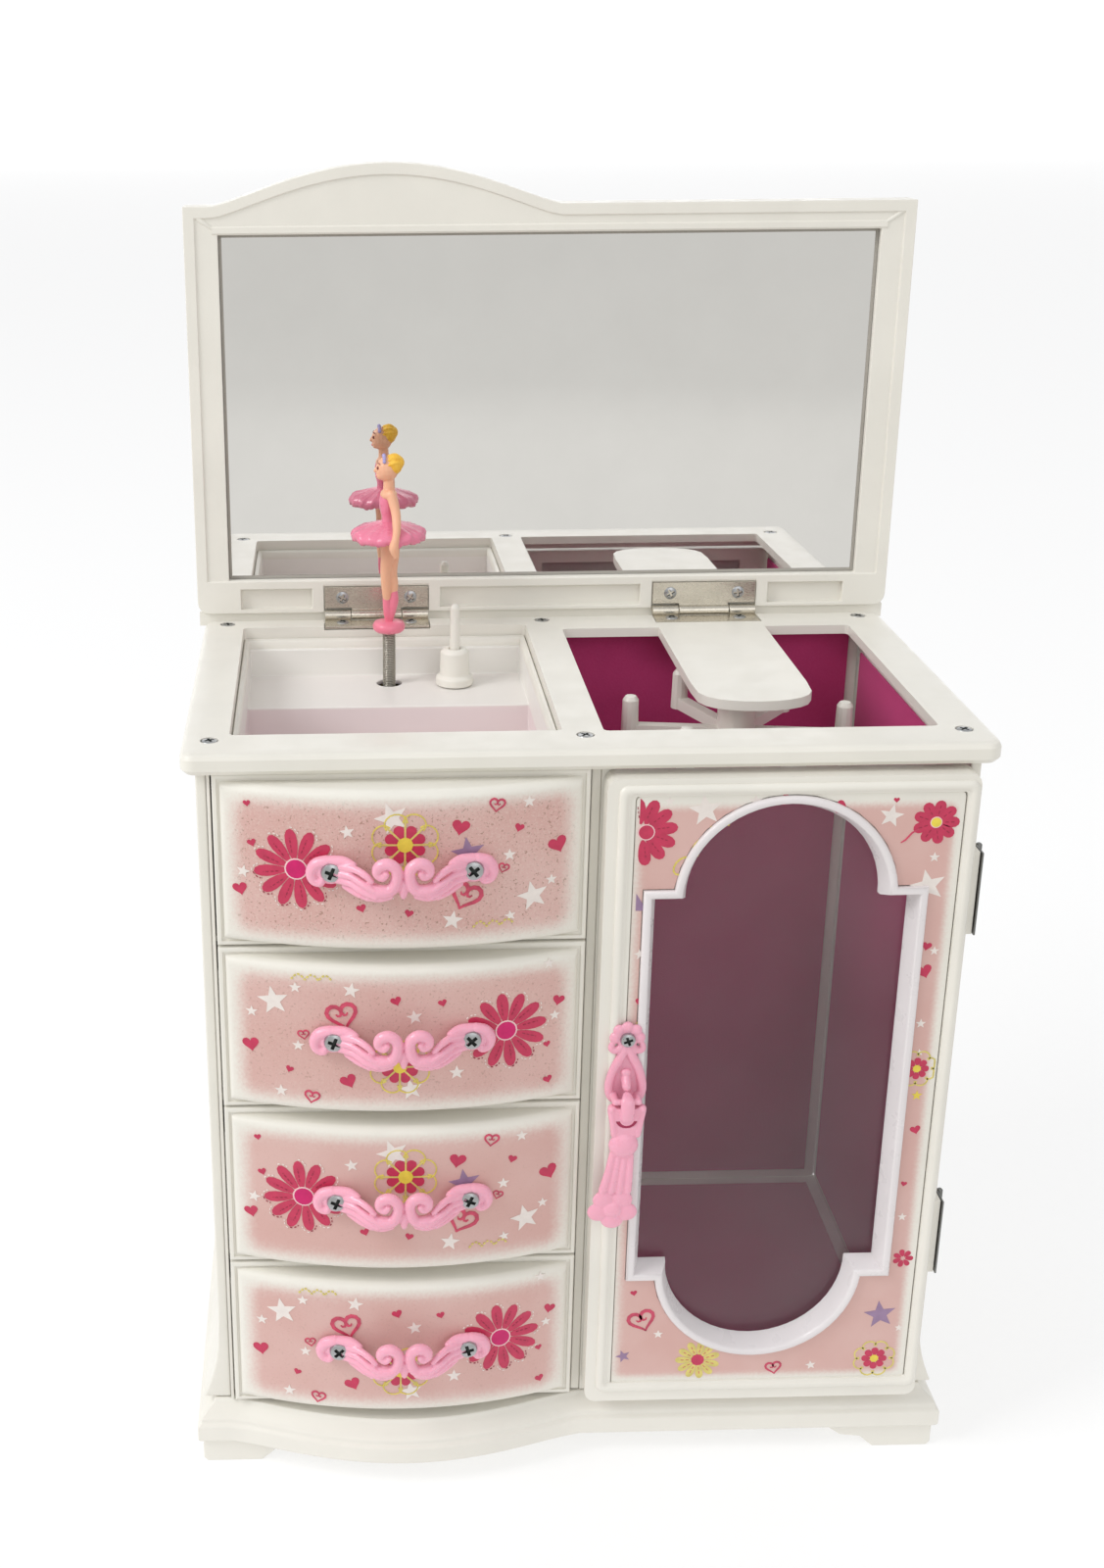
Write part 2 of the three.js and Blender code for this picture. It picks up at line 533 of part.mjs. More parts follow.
// Musical movement: bedplate on the back panel, spring drum, pin cylinder, comb and governor.
function movement() {
  const { x, z } = DRUM;
  const plateY = [115.2, 117.2];
  const plate = block([-86, -24], plateY, [172.4, 207.6]);
  const combBoss = block([CYLINDER.left + 1, CYLINDER.right - 1], [105.2, plateY[0] + 0.5], [172.4, 178]);
  const posts = [[CYLINDER.left - 1.6, CYLINDER.left - 0.3], [CYLINDER.right + 0.3, CYLINDER.right + 1.6]]
    .map((span) => block(span, [102, plateY[0] + 0.5], [185.5, 192.5]));
  const footing = block([-35, -26.6], [98, plateY[0] + 0.5], [172.4, 175]);
  const arborHole = rod(2, 110, 120, [x, 0, z], 'y', 16);
  const bearing = rod(0.9, CYLINDER.left - 3, CYLINDER.right + 3, [0, CYLINDER.y, CYLINDER.z], 'x', 12);
  add('movement_bedplate', cut(join(plate, combBoss, ...posts, footing), arborHole, bearing), brass());

  const teeth = 18;
  const pitch = (CYLINDER.right - CYLINDER.left - 3) / teeth;
  const combTop = CYLINDER.z - CYLINDER.radius - 1;
  const left = CYLINDER.left + 1.5;
  const slots = Array.from({ length: teeth - 1 }, (_, i) => left + pitch * (i + 1)).flatMap((at) => [
    [at - 0.15, combTop], [at - 0.15, 178.4], [at + 0.15, 178.4], [at + 0.15, combTop],
  ]);
  const comb = slab([[left, 172.6], [left, combTop], ...slots, [CYLINDER.right - 1.5, combTop], [CYLINDER.right - 1.5, 172.6]].reverse(), [104, 104.9]);
  add('tone_comb', comb, steel());

  const drum = turned([[0, DRUM.front - 2], [1.5, DRUM.front - 2], [1.5, DRUM.front], [DRUM.radius, DRUM.front], [DRUM.radius, DRUM.back],
    [1.5, DRUM.back], [1.5, 125], [0, 125]], [x, 0, z], 'y', 24);
  add('mainspring_drum', drum, brass());
  const hub = rod(3, 121.6, 128, [x, 0, z], 'y', 16);
  const wing = roundedRectangle([x - 11, x + 11], [126.4, 135], 3);
  const bore = rod(1.8, 120, 125.4, [x, 0, z], 'y', 16);
  add('winding_key', cut(join(hub, prism(wing, [z - 1.1, z + 1.1])), bore), steel());

  const cylinder = [rod(CYLINDER.radius, CYLINDER.left, CYLINDER.right, [0, CYLINDER.y, CYLINDER.z], 'x', 24),
    rod(0.8, CYLINDER.left - 1.6, CYLINDER.right + 1.6, [0, CYLINDER.y, CYLINDER.z], 'x', 12)];
  for (let i = 0; i < 12; i += 1) {
    const angle = (i * 150 * Math.PI) / 180;
    const at = CYLINDER.left + 2.2 + i * 1.3;
    const [c, s] = [Math.cos(angle), Math.sin(angle)];
    const centre = CYLINDER.radius + 0.1;
    cylinder.push(block([at - 0.25, at + 0.25], [CYLINDER.y + c * centre - 0.3, CYLINDER.y + c * centre + 0.3],
      [CYLINDER.z + s * centre - 0.3, CYLINDER.z + s * centre + 0.3]));
  }
  add('pin_cylinder', join(...cylinder), brass());

  const fan = turned([[0, 175.6], [0.7, 175.6], [0.7, 181], [2, 181], [2, 187], [0.7, 187], [0.7, 196], [0, 196]], [-31, 104, 0], 'z', 12);
  const blades = [block([-35, -27], [103.6, 104.4], [189, 195]), block([-31.4, -30.6], [100, 108], [189, 195])];
  add('governor', join(fan, ...blades), brass());
}

// Stop rod: a springy pin in a guide cup; the closing lid presses it onto the governor.
function stopRod() {
  const at = [ROD.x, ROD.y, 0];
  const base = TRAY.step + GAP;
  const cup = turned([[0, base], [5.8, base], [5.8, base + 2.4], [4.6, base + 3.2], [4.4, base + 10.4], [3.4, base + 11.4], [0, base + 11.4]], at, 'z', 20);
  add('stop_rod_guide', cut(cup, rod(1.85, 205, 230, at, 'z', 12)), cream());
  const pin = turned([[0, ROD.low], [1.5, ROD.low], [1.5, ROD.top - 1.2], [0.9, ROD.top - 0.2], [0, ROD.top]], at, 'z', 12);
  add('stop_rod', pin, cream());
}

// Dancer on a round base, carried by a coil spring above the turning spindle.
function dancer() {
  const { x, y } = SPINDLE;
  const shaft = turned([[0, 196.6], [4.6, 196.6], [4.6, 198], [SPINDLE.radius, 198], [SPINDLE.radius, 204.4], [0, 204.4]], [x, y, 0], 'z', 16);
  add('spindle', shaft, steel());
  add('dancer_spring', rod(2, 204.8, 228, [x, y, 0], 'z', 12), steel());
  const at = [x, y, 0];
  const disc = turned([[0, 228.3], [4.2, 228.3], [5, 229.2], [5, 230.6], [4.2, 231.5], [0, 231.5]], at, 'z', 20);
  const legs = turned([[0, 231], [1.6, 231], [2, 238], [2.8, 246], [3.2, 258], [0, 259]], at, 'z', 12);
  const tutu = turned([[0, 257.8], [10.8, 258.2], [11.6, 259.2], [11.2, 260.6], [3.6, 263], [0, 263.4]], at, 'z', 24);
  const bodice = turned([[0, 262], [2.6, 262], [2.3, 265], [3.2, 270], [2.6, 272.6], [1.2, 273.4], [1.1, 275.4], [0, 275.6]], at, 'z', 14);
  const head = turned([[0, 274.6], [2.6, 276], [3.9, 278.6], [3.6, 281.4], [1.8, 283.2], [0, 283.4]], at, 'z', 14);
  const bun = turned([[0, 278], [1.7, 279], [2.2, 281], [1.2, 283], [0, 283.2]], [x + 3.6, y, 0], 'z', 10);
  const arms = [-3.4, 3.4].map((side) => turned([[0, 256], [1, 257], [1.1, 270], [0, 271.6]], [x, y + side, 0], 'z', 8));
  add('dancer', join(disc, legs, tutu, bodice, head, bun, ...arms), rose());
}

basePlinth();
sidePanels();
innerPanels();
wellLiners();
topDeck();
deckScrews();
musicTray();
fixedFront();
drawers();
lidParts();
lidHinges();
doorParts();
doorHinges();
doorPull();
carousel();
movement();
stopRod();
dancer();

export default box;
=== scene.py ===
"""Upright musical jewellery box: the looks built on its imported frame.

Lengths in this script are millimetres, with depths counted from the deck's front edge, until
place() turns them into the row frame's metres.
"""

import json
import math
import random

import bmesh
import bpy
from mathutils import Matrix, Vector

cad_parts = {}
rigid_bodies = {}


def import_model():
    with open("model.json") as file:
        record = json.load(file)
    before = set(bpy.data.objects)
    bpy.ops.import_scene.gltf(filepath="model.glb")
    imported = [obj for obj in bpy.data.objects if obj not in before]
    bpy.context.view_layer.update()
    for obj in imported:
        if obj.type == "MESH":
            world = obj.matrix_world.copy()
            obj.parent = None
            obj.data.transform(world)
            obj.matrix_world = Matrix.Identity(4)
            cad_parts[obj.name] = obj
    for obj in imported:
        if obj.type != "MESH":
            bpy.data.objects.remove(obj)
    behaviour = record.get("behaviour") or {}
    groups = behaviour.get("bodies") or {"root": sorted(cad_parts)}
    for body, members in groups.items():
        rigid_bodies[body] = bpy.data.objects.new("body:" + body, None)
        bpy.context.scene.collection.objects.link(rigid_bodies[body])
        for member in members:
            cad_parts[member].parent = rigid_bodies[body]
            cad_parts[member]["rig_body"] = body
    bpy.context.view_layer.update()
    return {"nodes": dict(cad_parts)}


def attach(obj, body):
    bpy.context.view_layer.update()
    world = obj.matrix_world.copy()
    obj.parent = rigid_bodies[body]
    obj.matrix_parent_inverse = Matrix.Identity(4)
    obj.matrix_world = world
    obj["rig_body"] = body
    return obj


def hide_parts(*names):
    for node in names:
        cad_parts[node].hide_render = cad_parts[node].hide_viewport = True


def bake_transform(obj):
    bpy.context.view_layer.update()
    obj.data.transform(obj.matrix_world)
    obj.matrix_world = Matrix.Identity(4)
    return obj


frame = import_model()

MM = 0.001
BEVEL_FROM = math.radians(28)
CENTRE_Y = 61.51
FACE = {"left": -99.5, "right": 0.0, "ends": 2.6, "bulge": 9.4, "back": 5.6}
LEVELS = [21, 70, 121, 170.5, 220.5]
HANDLE_X = -50
SCREW_OFFSET = 18.5
LID = {"y": 125, "z": 227.5, "half": 109.8, "height": 125.4, "arch": 12, "face": 0.6, "lean": 0.9}
BOW = {"left": -101, "right": 3}
MIRROR = {"half": 99.3, "low": 11.7, "high": 116.8}
DOOR_FRONT = -2.4
MOULDING = {"left": 6.6, "right": 101.3, "low": 25.8, "high": 217.3}
SHEET = {"left": 11.3, "right": 97.7, "low": 26.3, "high": 214.2, "front": -2.1}
WINDOW = {"x": 52.2, "half": 34.7, "arc": 26.6, "low": 68, "high": 184}
SPINDLE = (-49.7, 104)
TRAY_HOLE = (-95, -6.4, 15.5, 115.5)
PULL_X = 11.4
BEAD_INNER = 1.0
BEAD_OUTER = 3.3
FRONT_RIM = {"width": 1.25, "face": 2.9, "groove_end": 1.99, "groove": 3.5}
EDGE_STEPS = (0, 0.08, 0.25, 0.5, 1.2, 1.3, 1.95, 2.0, 2.05, 2.2, 2.5, 2.9, 3.4, 4.0, 4.6)
PRINT_X = -49.75
SUNK = -0.2
HANDLE_RISE = 1.1
HINGE = {"left": -69.4, "right": 35.2, "screws": (5.6, 27.2)}
DOOR_KNUCKLE = (105.3, 5.7)
DOOR_HINGES = (("upper", 172), ("lower", 64))
DECK_SCREW_Z = 226.1
ARCH_STEPS = 28


# ---------- mesh helpers ----------
def place(x, y, z):
    """A point in millimetres, with y from the deck's front edge, in the row frame."""
    return Vector((x * MM, (y - CENTRE_Y) * MM, z * MM))


class Shape:
    """Closed skins gathered into one mesh, each face with a material index."""

    def __init__(self):
        self.points = []
        self.faces = []
        self.slots = []

    def add(self, skin, slot=0):
        points, faces = skin
        base = len(self.points)
        self.points += [tuple(p) for p in points]
        self.faces += [[base + i for i in face] for face in faces]
        self.slots += [slot] * len(faces)
        return self


def loft(rings):
    """A closed skin through equal-length rings, capped at both ends."""
    count = len(rings[0])
    last = (len(rings) - 1) * count
    faces = [list(range(count)), [last + i for i in range(count)]]
    for s in range(len(rings) - 1):
        for i in range(count):
            a = s * count + i
            b = s * count + (i + 1) % count
            faces.append([a, b, b + count, a + count])
    return [p for ring in rings for p in ring], faces


def looped(rings):
    """A closed skin through rings whose last joins the first, like a picture frame."""
    count = len(rings[0])
    total = len(rings)
    faces = []
    for s in range(total):
        for i in range(count):
            a = s * count + i
            b = s * count + (i + 1) % count
            step = (s + 1) % total * count - s * count
            faces.append([a, b, b + step, a + step])
    return [p for ring in rings for p in ring], faces


def turned(profile, centre, sides=24, axis="z"):
    """A body of revolution; profile is (radius, distance) pairs along the axis."""
    rings = []
    for radius, along in profile:
        ring = []
        for i in range(sides):
            angle = math.tau * i / sides
            a, b = max(radius, 0.01) * math.cos(angle), max(radius, 0.01) * math.sin(angle)
            offset = {"z": (a, b, along), "x": (along, a, b), "y": (a, along, b)}[axis]
            ring.append([c + o for c, o in zip(centre, offset)])
        rings.append(ring)
    return loft(rings)


def between(p, q, r, w, t):
    """The Catmull-Rom value at t on the way from q to r."""
    square = (2 * p - 5 * q + 4 * r - w) * t * t
    cube = (3 * q - p - 3 * r + w) * t**3
    return 0.5 * (2 * q + (r - p) * t + square + cube)


def smooth_path(points, steps=6):
    """Catmull-Rom points through tuples of any length."""
    ends = [points[0], *points, points[-1]]
    found = []
    for i in range(len(points) - 1):
        for s in range(steps):
            found.append(tuple(between(*values, s / steps) for values in zip(*ends[i : i + 4])))
    found.append(tuple(points[-1]))
    return found


def sweep(path, sides=10, flat=1.0, up=(0, 1, 0)):
    """A round-ended tube; path holds (x, y, z, radius), and flat scales it along up."""
    centres = [Vector(p[:3]) for p in path]
    radii = [p[3] for p in path]
    up = Vector(up)
    rings = []
    for i, centre in enumerate(centres):
        ahead = centres[min(i + 1, len(centres) - 1)] - centres[max(i - 1, 0)]
        side = ahead.normalized().cross(up)
        side = side.normalized() if side.length > 1e-4 else Vector((1, 0, 0))
        over = side.cross(ahead.normalized()).normalized() * flat
        rings.append((centre, side, over, ahead.normalized(), radii[i]))
    made = []

    def ring(centre, side, over, radius):
        return [
            centre + (side * math.cos(angle) + over * math.sin(angle)) * radius
            for angle in [math.tau * k / sides for k in range(sides)]
        ]

    centre, side, over, ahead, radius = rings[0]
    for angle in (80, 55, 30):
        back = math.radians(angle)
        made.append(ring(centre - ahead * radius * math.sin(back), side, over, radius * math.cos(back)))
    for centre, side, over, ahead, radius in rings:
        made.append(ring(centre, side, over, radius))
    for angle in (30, 55, 80):
        back = math.radians(angle)
        made.append(ring(centre + ahead * radius * math.sin(back), side, over, radius * math.cos(back)))
    return loft(made)


def tube(points, sides=10, steps=6, flat=1.0):
    """A round sweep along the smooth curve through the points."""
    return sweep(smooth_path(points, steps), sides, flat)


def ball(centre, radii, sides=16):
    """An ellipsoid."""
    x, y, z = centre
    a, b, c = radii
    rings = []
    for k in range(9):
        angle = math.pi * (k + 0.25) / 8.5
        radius, along = math.sin(angle), -math.cos(angle)
        turns = [math.tau * i / sides for i in range(sides)]
        flat = [(x + a * radius * math.cos(t), y + b * radius * math.sin(t)) for t in turns]
        rings.append([(px, py, z + c * along) for px, py in flat])
    return loft(rings)


def bar(x, y, z):
    """A block between the pairs x, y and z."""
    return loft([[(x[0], y[0], h), (x[1], y[0], h), (x[1], y[1], h), (x[0], y[1], h)] for h in z])


def mesh_of(name, shape, origin=(0, CENTRE_Y, 0)):
    """The shape as a mesh; origin is the point of it that becomes the mesh's own zero."""
    zero = place(*origin)
    mesh = bpy.data.meshes.new(name)
    mesh.from_pydata([place(*p) - zero for p in shape.points], [], shape.faces)
    mesh.polygons.foreach_set("material_index", shape.slots)
    bm = bmesh.new()
    bm.from_mesh(mesh)
    bmesh.ops.recalc_face_normals(bm, faces=bm.faces)
    bm.to_mesh(mesh)
    bm.free()
    return mesh


def smooth(mesh, angle=40):
    """The mesh shaded smooth, with edges sharper than the angle left sharp."""
    mesh.shade_smooth()
    mesh.set_sharp_from_angle(angle=math.radians(angle))
    return mesh


def piece(name, mesh, materials, body, nodes=(), location=None, rotation=None):
    """Puts a finished mesh in the scene, riding on its body."""
    if not mesh.materials:
        for material in materials:
            mesh.materials.append(material)
    obj = bpy.data.objects.new(name, mesh)
    bpy.context.scene.collection.objects.link(obj)
    if location is not None:
        obj.location = location
    if rotation is not None:
        obj.rotation_euler = rotation
    if body:
        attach(obj, body)
    if nodes:
        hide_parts(*nodes)
    return obj


def shown(name, shape, material, body, angle=50, nodes=()):
    """A shape as a piece, shaded smooth up to the angle."""
    return piece(name, smooth(mesh_of(name, shape), angle), [material], body, nodes)


def fused(name, shape, material, body, nodes=(), voxel=0.22, rounds=3):
    """A shape's skins melted into one, as a piece."""
    mesh = melted(shape, voxel, rounds)
    mesh.materials.clear()
    piece(name, mesh, [material], body, nodes)


def evaluated(mesh, *modifiers):
    """The mesh after modifiers given as (type, settings)."""
    obj = bpy.data.objects.new("working", mesh)
    bpy.context.scene.collection.objects.link(obj)
    for kind, settings in modifiers:
        modifier = obj.modifiers.new(kind, kind)
        for key, value in settings.items():
            setattr(modifier, key, value)
    result = bpy.data.meshes.new_from_object(obj.evaluated_get(bpy.context.evaluated_depsgraph_get()))
    bpy.data.objects.remove(obj)
    return result


def carved(mesh, cutter):
    """The mesh less the shape."""
    tool = bpy.data.objects.new("cutter", mesh_of("cutter", cutter))
    bpy.context.scene.collection.objects.link(tool)
    result = evaluated(mesh, ("BOOLEAN", {"object": tool, "solver": "EXACT", "operation": "DIFFERENCE"}))
    bpy.data.objects.remove(tool)
    return result


def melted(shape, voxel=0.28, rounds=4, origin=(0, CENTRE_Y, 0)):
    """Overlapping skins fused into one smooth moulding."""
    mesh = mesh_of("melted", shape, origin)
    mesh = evaluated(
        mesh,
        ("REMESH", {"mode": "VOXEL", "voxel_size": voxel * MM}),
        ("SMOOTH", {"factor": 0.5, "iterations": rounds}),
    )
    mesh.shade_smooth()
    return mesh


def cleaned(node, cutter=None):
    """A CAD node's mesh, cut if asked, with its split corners joined and flat faces whole."""
    mesh = bpy.data.meshes.new(node + "_detail")
    bm = bmesh.new()
    bm.from_mesh(frame["nodes"][node].data)
    bmesh.ops.remove_doubles(bm, verts=bm.verts, dist=1e-6)
    bm.to_mesh(mesh)
    bm.free()
    for name in ("custom_normal", "sharp_edge", "sharp_face"):
        if name in mesh.attributes:
            mesh.attributes.remove(mesh.attributes[name])
    mesh.materials.clear()
    if cutter:
        mesh = carved(mesh, cutter)
        mesh.materials.clear()
    bm = bmesh.new()
    bm.from_mesh(mesh)
    bmesh.ops.dissolve_limit(bm, angle_limit=math.radians(0.8), verts=bm.verts, edges=bm.edges)
    bmesh.ops.triangulate(bm, faces=[face for face in bm.faces if len(face.verts) > 4])
    bm.to_mesh(mesh)
    bm.free()
    return mesh


def body_of(node):
    """The body that a CAD node belongs to."""
    return frame["nodes"][node]["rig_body"]


def flat_sheet(node, material):
    """A CAD sheet again with true flat faces, so that it reflects without ripples."""
    mesh = cleaned(node)
    mesh.shade_flat()
    piece(node + "_detail", mesh, [material], body_of(node), [node])


def refined(node, material, edge=0.4, segments=3, cutter=None):
    """A CAD node again with softened edges, and a finish."""
    bevel = {"width": edge * MM, "segments": segments, "limit_method": "ANGLE"}
    bevel["angle_limit"] = BEVEL_FROM
    mesh = evaluated(cleaned(node, cutter), ("BEVEL", bevel))
    mesh.name = node + "_detail"
    smooth(mesh, 50)
    obj = piece(node + "_detail", mesh, [material], body_of(node), [node])
    obj.modifiers.new("Even", "WEIGHTED_NORMAL").keep_sharp = True
    return obj


# ---------- materials ----------
class Tree:
    """A material's node tree with short calls for making and joining nodes."""

    def __init__(self, name):
        self.material = bpy.data.materials.new(name)
        self.material.use_nodes = True
        self.nodes = self.material.node_tree.nodes
        self.links = self.material.node_tree.links
        self.shader = self.nodes["Principled BSDF"]
        self.position = self.node("ShaderNodeTexCoord").outputs["Object"]

    def node(self, kind, settings=(), inputs=()):
        """A new node; an input that is a socket is joined, and any other is set."""
        made = self.nodes.new(kind)
        for key, value in dict(settings).items():
            setattr(made, key, value)
        for key, value in dict(inputs).items():
            if isinstance(value, bpy.types.NodeSocket):
                self.links.new(value, made.inputs[key])
            else:
                made.inputs[key].default_value = value
        return made

    def noise(self, scale, detail=3, roughness=0.55, vector=None):
        inputs = {"Scale": scale, "Detail": detail, "Roughness": roughness}
        inputs["Vector"] = vector or self.position
        return self.node("ShaderNodeTexNoise", inputs=inputs).outputs["Fac"]

    def ramp(self, value, *stops):
        made = self.node("ShaderNodeValToRGB", inputs={"Fac": value})
        elements = made.color_ramp.elements
        while len(elements) < len(stops):
            elements.new(0.5)
        for element, (at, colour) in zip(elements, stops):
            element.position = at
            element.color = (*colour, 1)
        return made.outputs["Color"]

    def span(self, value, from_low, from_high, to_low, to_high):
        """The value's range mapped onto another, with soft ends."""
        settings = {"interpolation_type": "SMOOTHSTEP"}
        inputs = {"Value": value, "From Min": from_low, "From Max": from_high}
        inputs |= {"To Min": to_low, "To Max": to_high}
        return self.node("ShaderNodeMapRange", settings, inputs).outputs["Result"]

    def maths(self, operation, a, b=0.0):
        return self.node("ShaderNodeMath", {"operation": operation}, {0: a, 1: b}).outputs[0]

    def mixed(self, factor, a, b):
        settings = {"data_type": "RGBA"}
        return self.node("ShaderNodeMix", settings, {0: factor, 6: a, 7: b}).outputs[2]

    def bump(self, height, strength, distance=0.0002):
        inputs = {"Height": height, "Strength": strength, "Distance": distance}
        made = self.node("ShaderNodeBump", inputs=inputs)
        self.links.new(made.outputs["Normal"], self.shader.inputs["Normal"])

    def colour(self, socket):
        self.links.new(socket, self.shader.inputs["Base Color"])

    def rough(self, value, low, high, start=0.3, end=0.7):
        """Roughness from low to high as the value goes from start to end."""
        self.links.new(self.span(value, start, end, low, high), self.shader.inputs["Roughness"])

    def mottled(self, value, low, high):
        """Base colour from low to high."""
        self.colour(self.ramp(value, (0.3, low), (0.7, high)))

    def peel(self, strength=0.10, distance=0.00012):
        """The fine orange-peel relief of moulded and printed skins."""
        self.bump(self.noise(1400, 2), strength, distance)

    def set(self, **values):
        for key, value in values.items():
            self.shader.inputs[key.replace("_", " ")].default_value = value


def tinted(colour, factor):
    """A colour made lighter or darker."""
    return tuple(min(1.0, c * factor) for c in colour)


def plastic(name, colour, gloss=0.34, soft=0.0, mottle=0.035, coat=0.0):
    """Injection-moulded plastic: faint flow mottling, orange-peel skin and uneven gloss."""
    tree = Tree(name)
    tree.mottled(tree.noise(38, 4), tinted(colour, 1 - mottle), tinted(colour, 1 + mottle * 0.6))
    tree.rough(tree.noise(160, 3), gloss - 0.05, gloss + 0.08)
    tree.peel()
    tree.set(Specular_IOR_Level=0.45, Coat_Weight=coat, Coat_Roughness=0.12)
    if soft:
        tree.set(Subsurface_Weight=soft, Subsurface_Radius=(0.9, 0.7, 0.6), Subsurface_Scale=0.0015)
    return tree.material


def metal(name, colour, gloss=0.28, brushed=(1, 1, 1), shade=0.25):
    """Plated metal: stretched brushing marks over small stains."""
    tree = Tree(name)
    mapping = tree.node("ShaderNodeMapping", inputs={"Vector": tree.position, "Scale": brushed})
    marks = tree.noise(900, 4, vector=mapping.outputs["Vector"])
    stains = tree.noise(220, 3)
    base = tree.mixed(stains, (*tinted(colour, 1 - shade), 1), (*colour, 1))
    tree.colour(tree.mixed(tree.maths("MULTIPLY", marks, 0.3), base, (*tinted(colour, 0.55), 1)))
    tree.rough(marks, gloss, gloss + 0.18)
    tree.bump(marks, 0.12, 0.00008)
    tree.set(Metallic=1.0)
    return tree.material


def felt():
    """Flocked card: short fibres, brushed patches and a soft sheen."""
    tree = Tree("magenta_flock")
    fibres = tree.noise(1500, 3, 0.6)
    patches = tree.noise(26, 3)
    base = tree.ramp(patches, (0.25, (0.44, 0.036, 0.145)), (0.75, (0.54, 0.052, 0.190)))
    tree.colour(tree.mixed(tree.maths("MULTIPLY", fibres, 0.35), base, (0.60, 0.11, 0.27, 1)))
    tree.rough(fibres, 0.85, 1.0)
    tree.bump(fibres, 0.25, 0.0003)
    tree.set(Sheen_Weight=0.45, Sheen_Roughness=0.45, Sheen_Tint=(0.95, 0.35, 0.6, 1))
    tree.set(Specular_IOR_Level=0.1)
    return tree.material


CREAM_TONE = (0.80, 0.775, 0.705)
PINK_PRINT = (0.635, 0.385, 0.345)
PINK_PRINT_LIGHT = (0.675, 0.445, 0.405)


def printed(name, mask_of):
    """Pink print on cream plastic; mask_of(tree) says where the ink lies."""
    tree = Tree(name)
    cloud = tree.noise(32, 4)
    ink = tree.mixed(tree.span(cloud, 0.3, 0.7, 0, 1), (*PINK_PRINT, 1), (*PINK_PRINT_LIGHT, 1))
    speckle = tree.node("ShaderNodeAttribute", {"attribute_name": "speckle"}).outputs["Fac"]
    grains = tree.noise(2100, 2, 0.6)
    pale = tree.maths("MULTIPLY", tree.span(grains, 0.52, 0.62, 0, 0.45), speckle)
    ink = tree.mixed(pale, ink, (0.72, 0.56, 0.50, 1))
    dark = tree.maths("MULTIPLY", tree.span(tree.noise(1300, 2, 0.6), 0.60, 0.68, 0, 0.75), speckle)
    ink = tree.mixed(dark, ink, (0.33, 0.19, 0.14, 1))
    base = tree.ramp(tree.noise(38, 4), (0.3, tinted(CREAM_TONE, 0.97)), (0.7, tinted(CREAM_TONE, 1.02)))
    grain = tree.span(tree.noise(1100, 2), 0.3, 0.7, -0.06, 0.06)
    mask = tree.maths("ADD", mask_of(tree), grain)
    tree.colour(tree.mixed(tree.span(mask, 0.0, 1.0, 0, 1), base, ink))
    tree.rough(tree.noise(160, 3), 0.36, 0.48)
    tree.peel()
    return tree.material


def drawer_mask(tree):
    """The print's cover as stored on the drawer fronts' points."""
    return tree.node("ShaderNodeAttribute", {"attribute_name": "print"}).outputs["Fac"]


def door_mask(tree):
    """One inside the sheet's border, fading to nothing at its outer edges."""
    axes = tree.node("ShaderNodeSeparateXYZ", inputs={0: tree.position}).outputs
    fade = 4.6 * MM
    mask = tree.span(axes[0], SHEET["left"] * MM - fade / 2, SHEET["left"] * MM + fade, 0, 1)
    for socket, start, end in (
        (axes[0], SHEET["right"] * MM, SHEET["right"] * MM - fade),
        (axes[2], (SHEET["low"] + 2.2) * MM, (SHEET["low"] + 2.2) * MM + fade),
        (axes[2], (SHEET["high"] - 1.2) * MM, (SHEET["high"] - 1.2) * MM - fade),
    ):
        mask = tree.maths("MULTIPLY", mask, tree.span(socket, start, end, 0, 1))
    return mask


def ink(name, colour, mottle=0.10):
    """One printed colour, slightly uneven, with a fine screen grain."""
    tree = Tree(name)
    tree.mottled(tree.noise(420, 4), tinted(colour, 1 - mottle), tinted(colour, 1 + mottle))
    tree.rough(tree.noise(300, 3), 0.34, 0.46)
    tree.peel(0.08, 0.0001)
    return tree.material


def tray_plastic():
    """Cream plastic that turns faintly pink low in the tray."""
    tree = Tree("tray_plastic")
    height = tree.node("ShaderNodeSeparateXYZ", inputs={0: tree.position}).outputs[2]
    low = tree.span(height, 0.2105, 0.2118, 0, 1)
    wash = tree.noise(30, 4)
    pink = tree.mixed(wash, (0.79, 0.68, 0.68, 1), (0.82, 0.73, 0.725, 1))
    white = tree.mixed(wash, (0.82, 0.80, 0.755, 1), (0.85, 0.83, 0.79, 1))
    tree.colour(tree.mixed(low, pink, white))
    tree.rough(tree.noise(160, 3), 0.3, 0.42)
    tree.peel()
    return tree.material


def glazing():
    """Thin acrylic: it passes most light, with a faint rosy haze and a clear reflection."""
    tree = Tree("acrylic_pane")
    smear = tree.noise(26, 4)
    clear = tree.node("ShaderNodeBsdfTransparent", inputs={"Color": (0.93, 0.93, 0.935, 1)})
    haze = tree.node("ShaderNodeBsdfDiffuse", inputs={"Color": (0.66, 0.53, 0.57, 1)})
    shine = tree.node("ShaderNodeBsdfGlossy", inputs={"Roughness": 0.04, "Color": (1, 1, 1, 1)})
    fresnel = tree.node("ShaderNodeFresnel", inputs={"IOR": 1.28}).outputs[0]
    amount = tree.span(smear, 0.3, 0.7, 0.042, 0.060)
    veil = tree.node("ShaderNodeMixShader", inputs={0: amount, 1: clear.outputs[0], 2: haze.outputs[0]})
    pane = tree.node("ShaderNodeMixShader", inputs={0: fresnel, 1: veil.outputs[0], 2: shine.outputs[0]})
    tree.links.new(pane.outputs[0], tree.nodes["Material Output"].inputs["Surface"])
    tree.nodes.remove(tree.shader)
    return tree.material


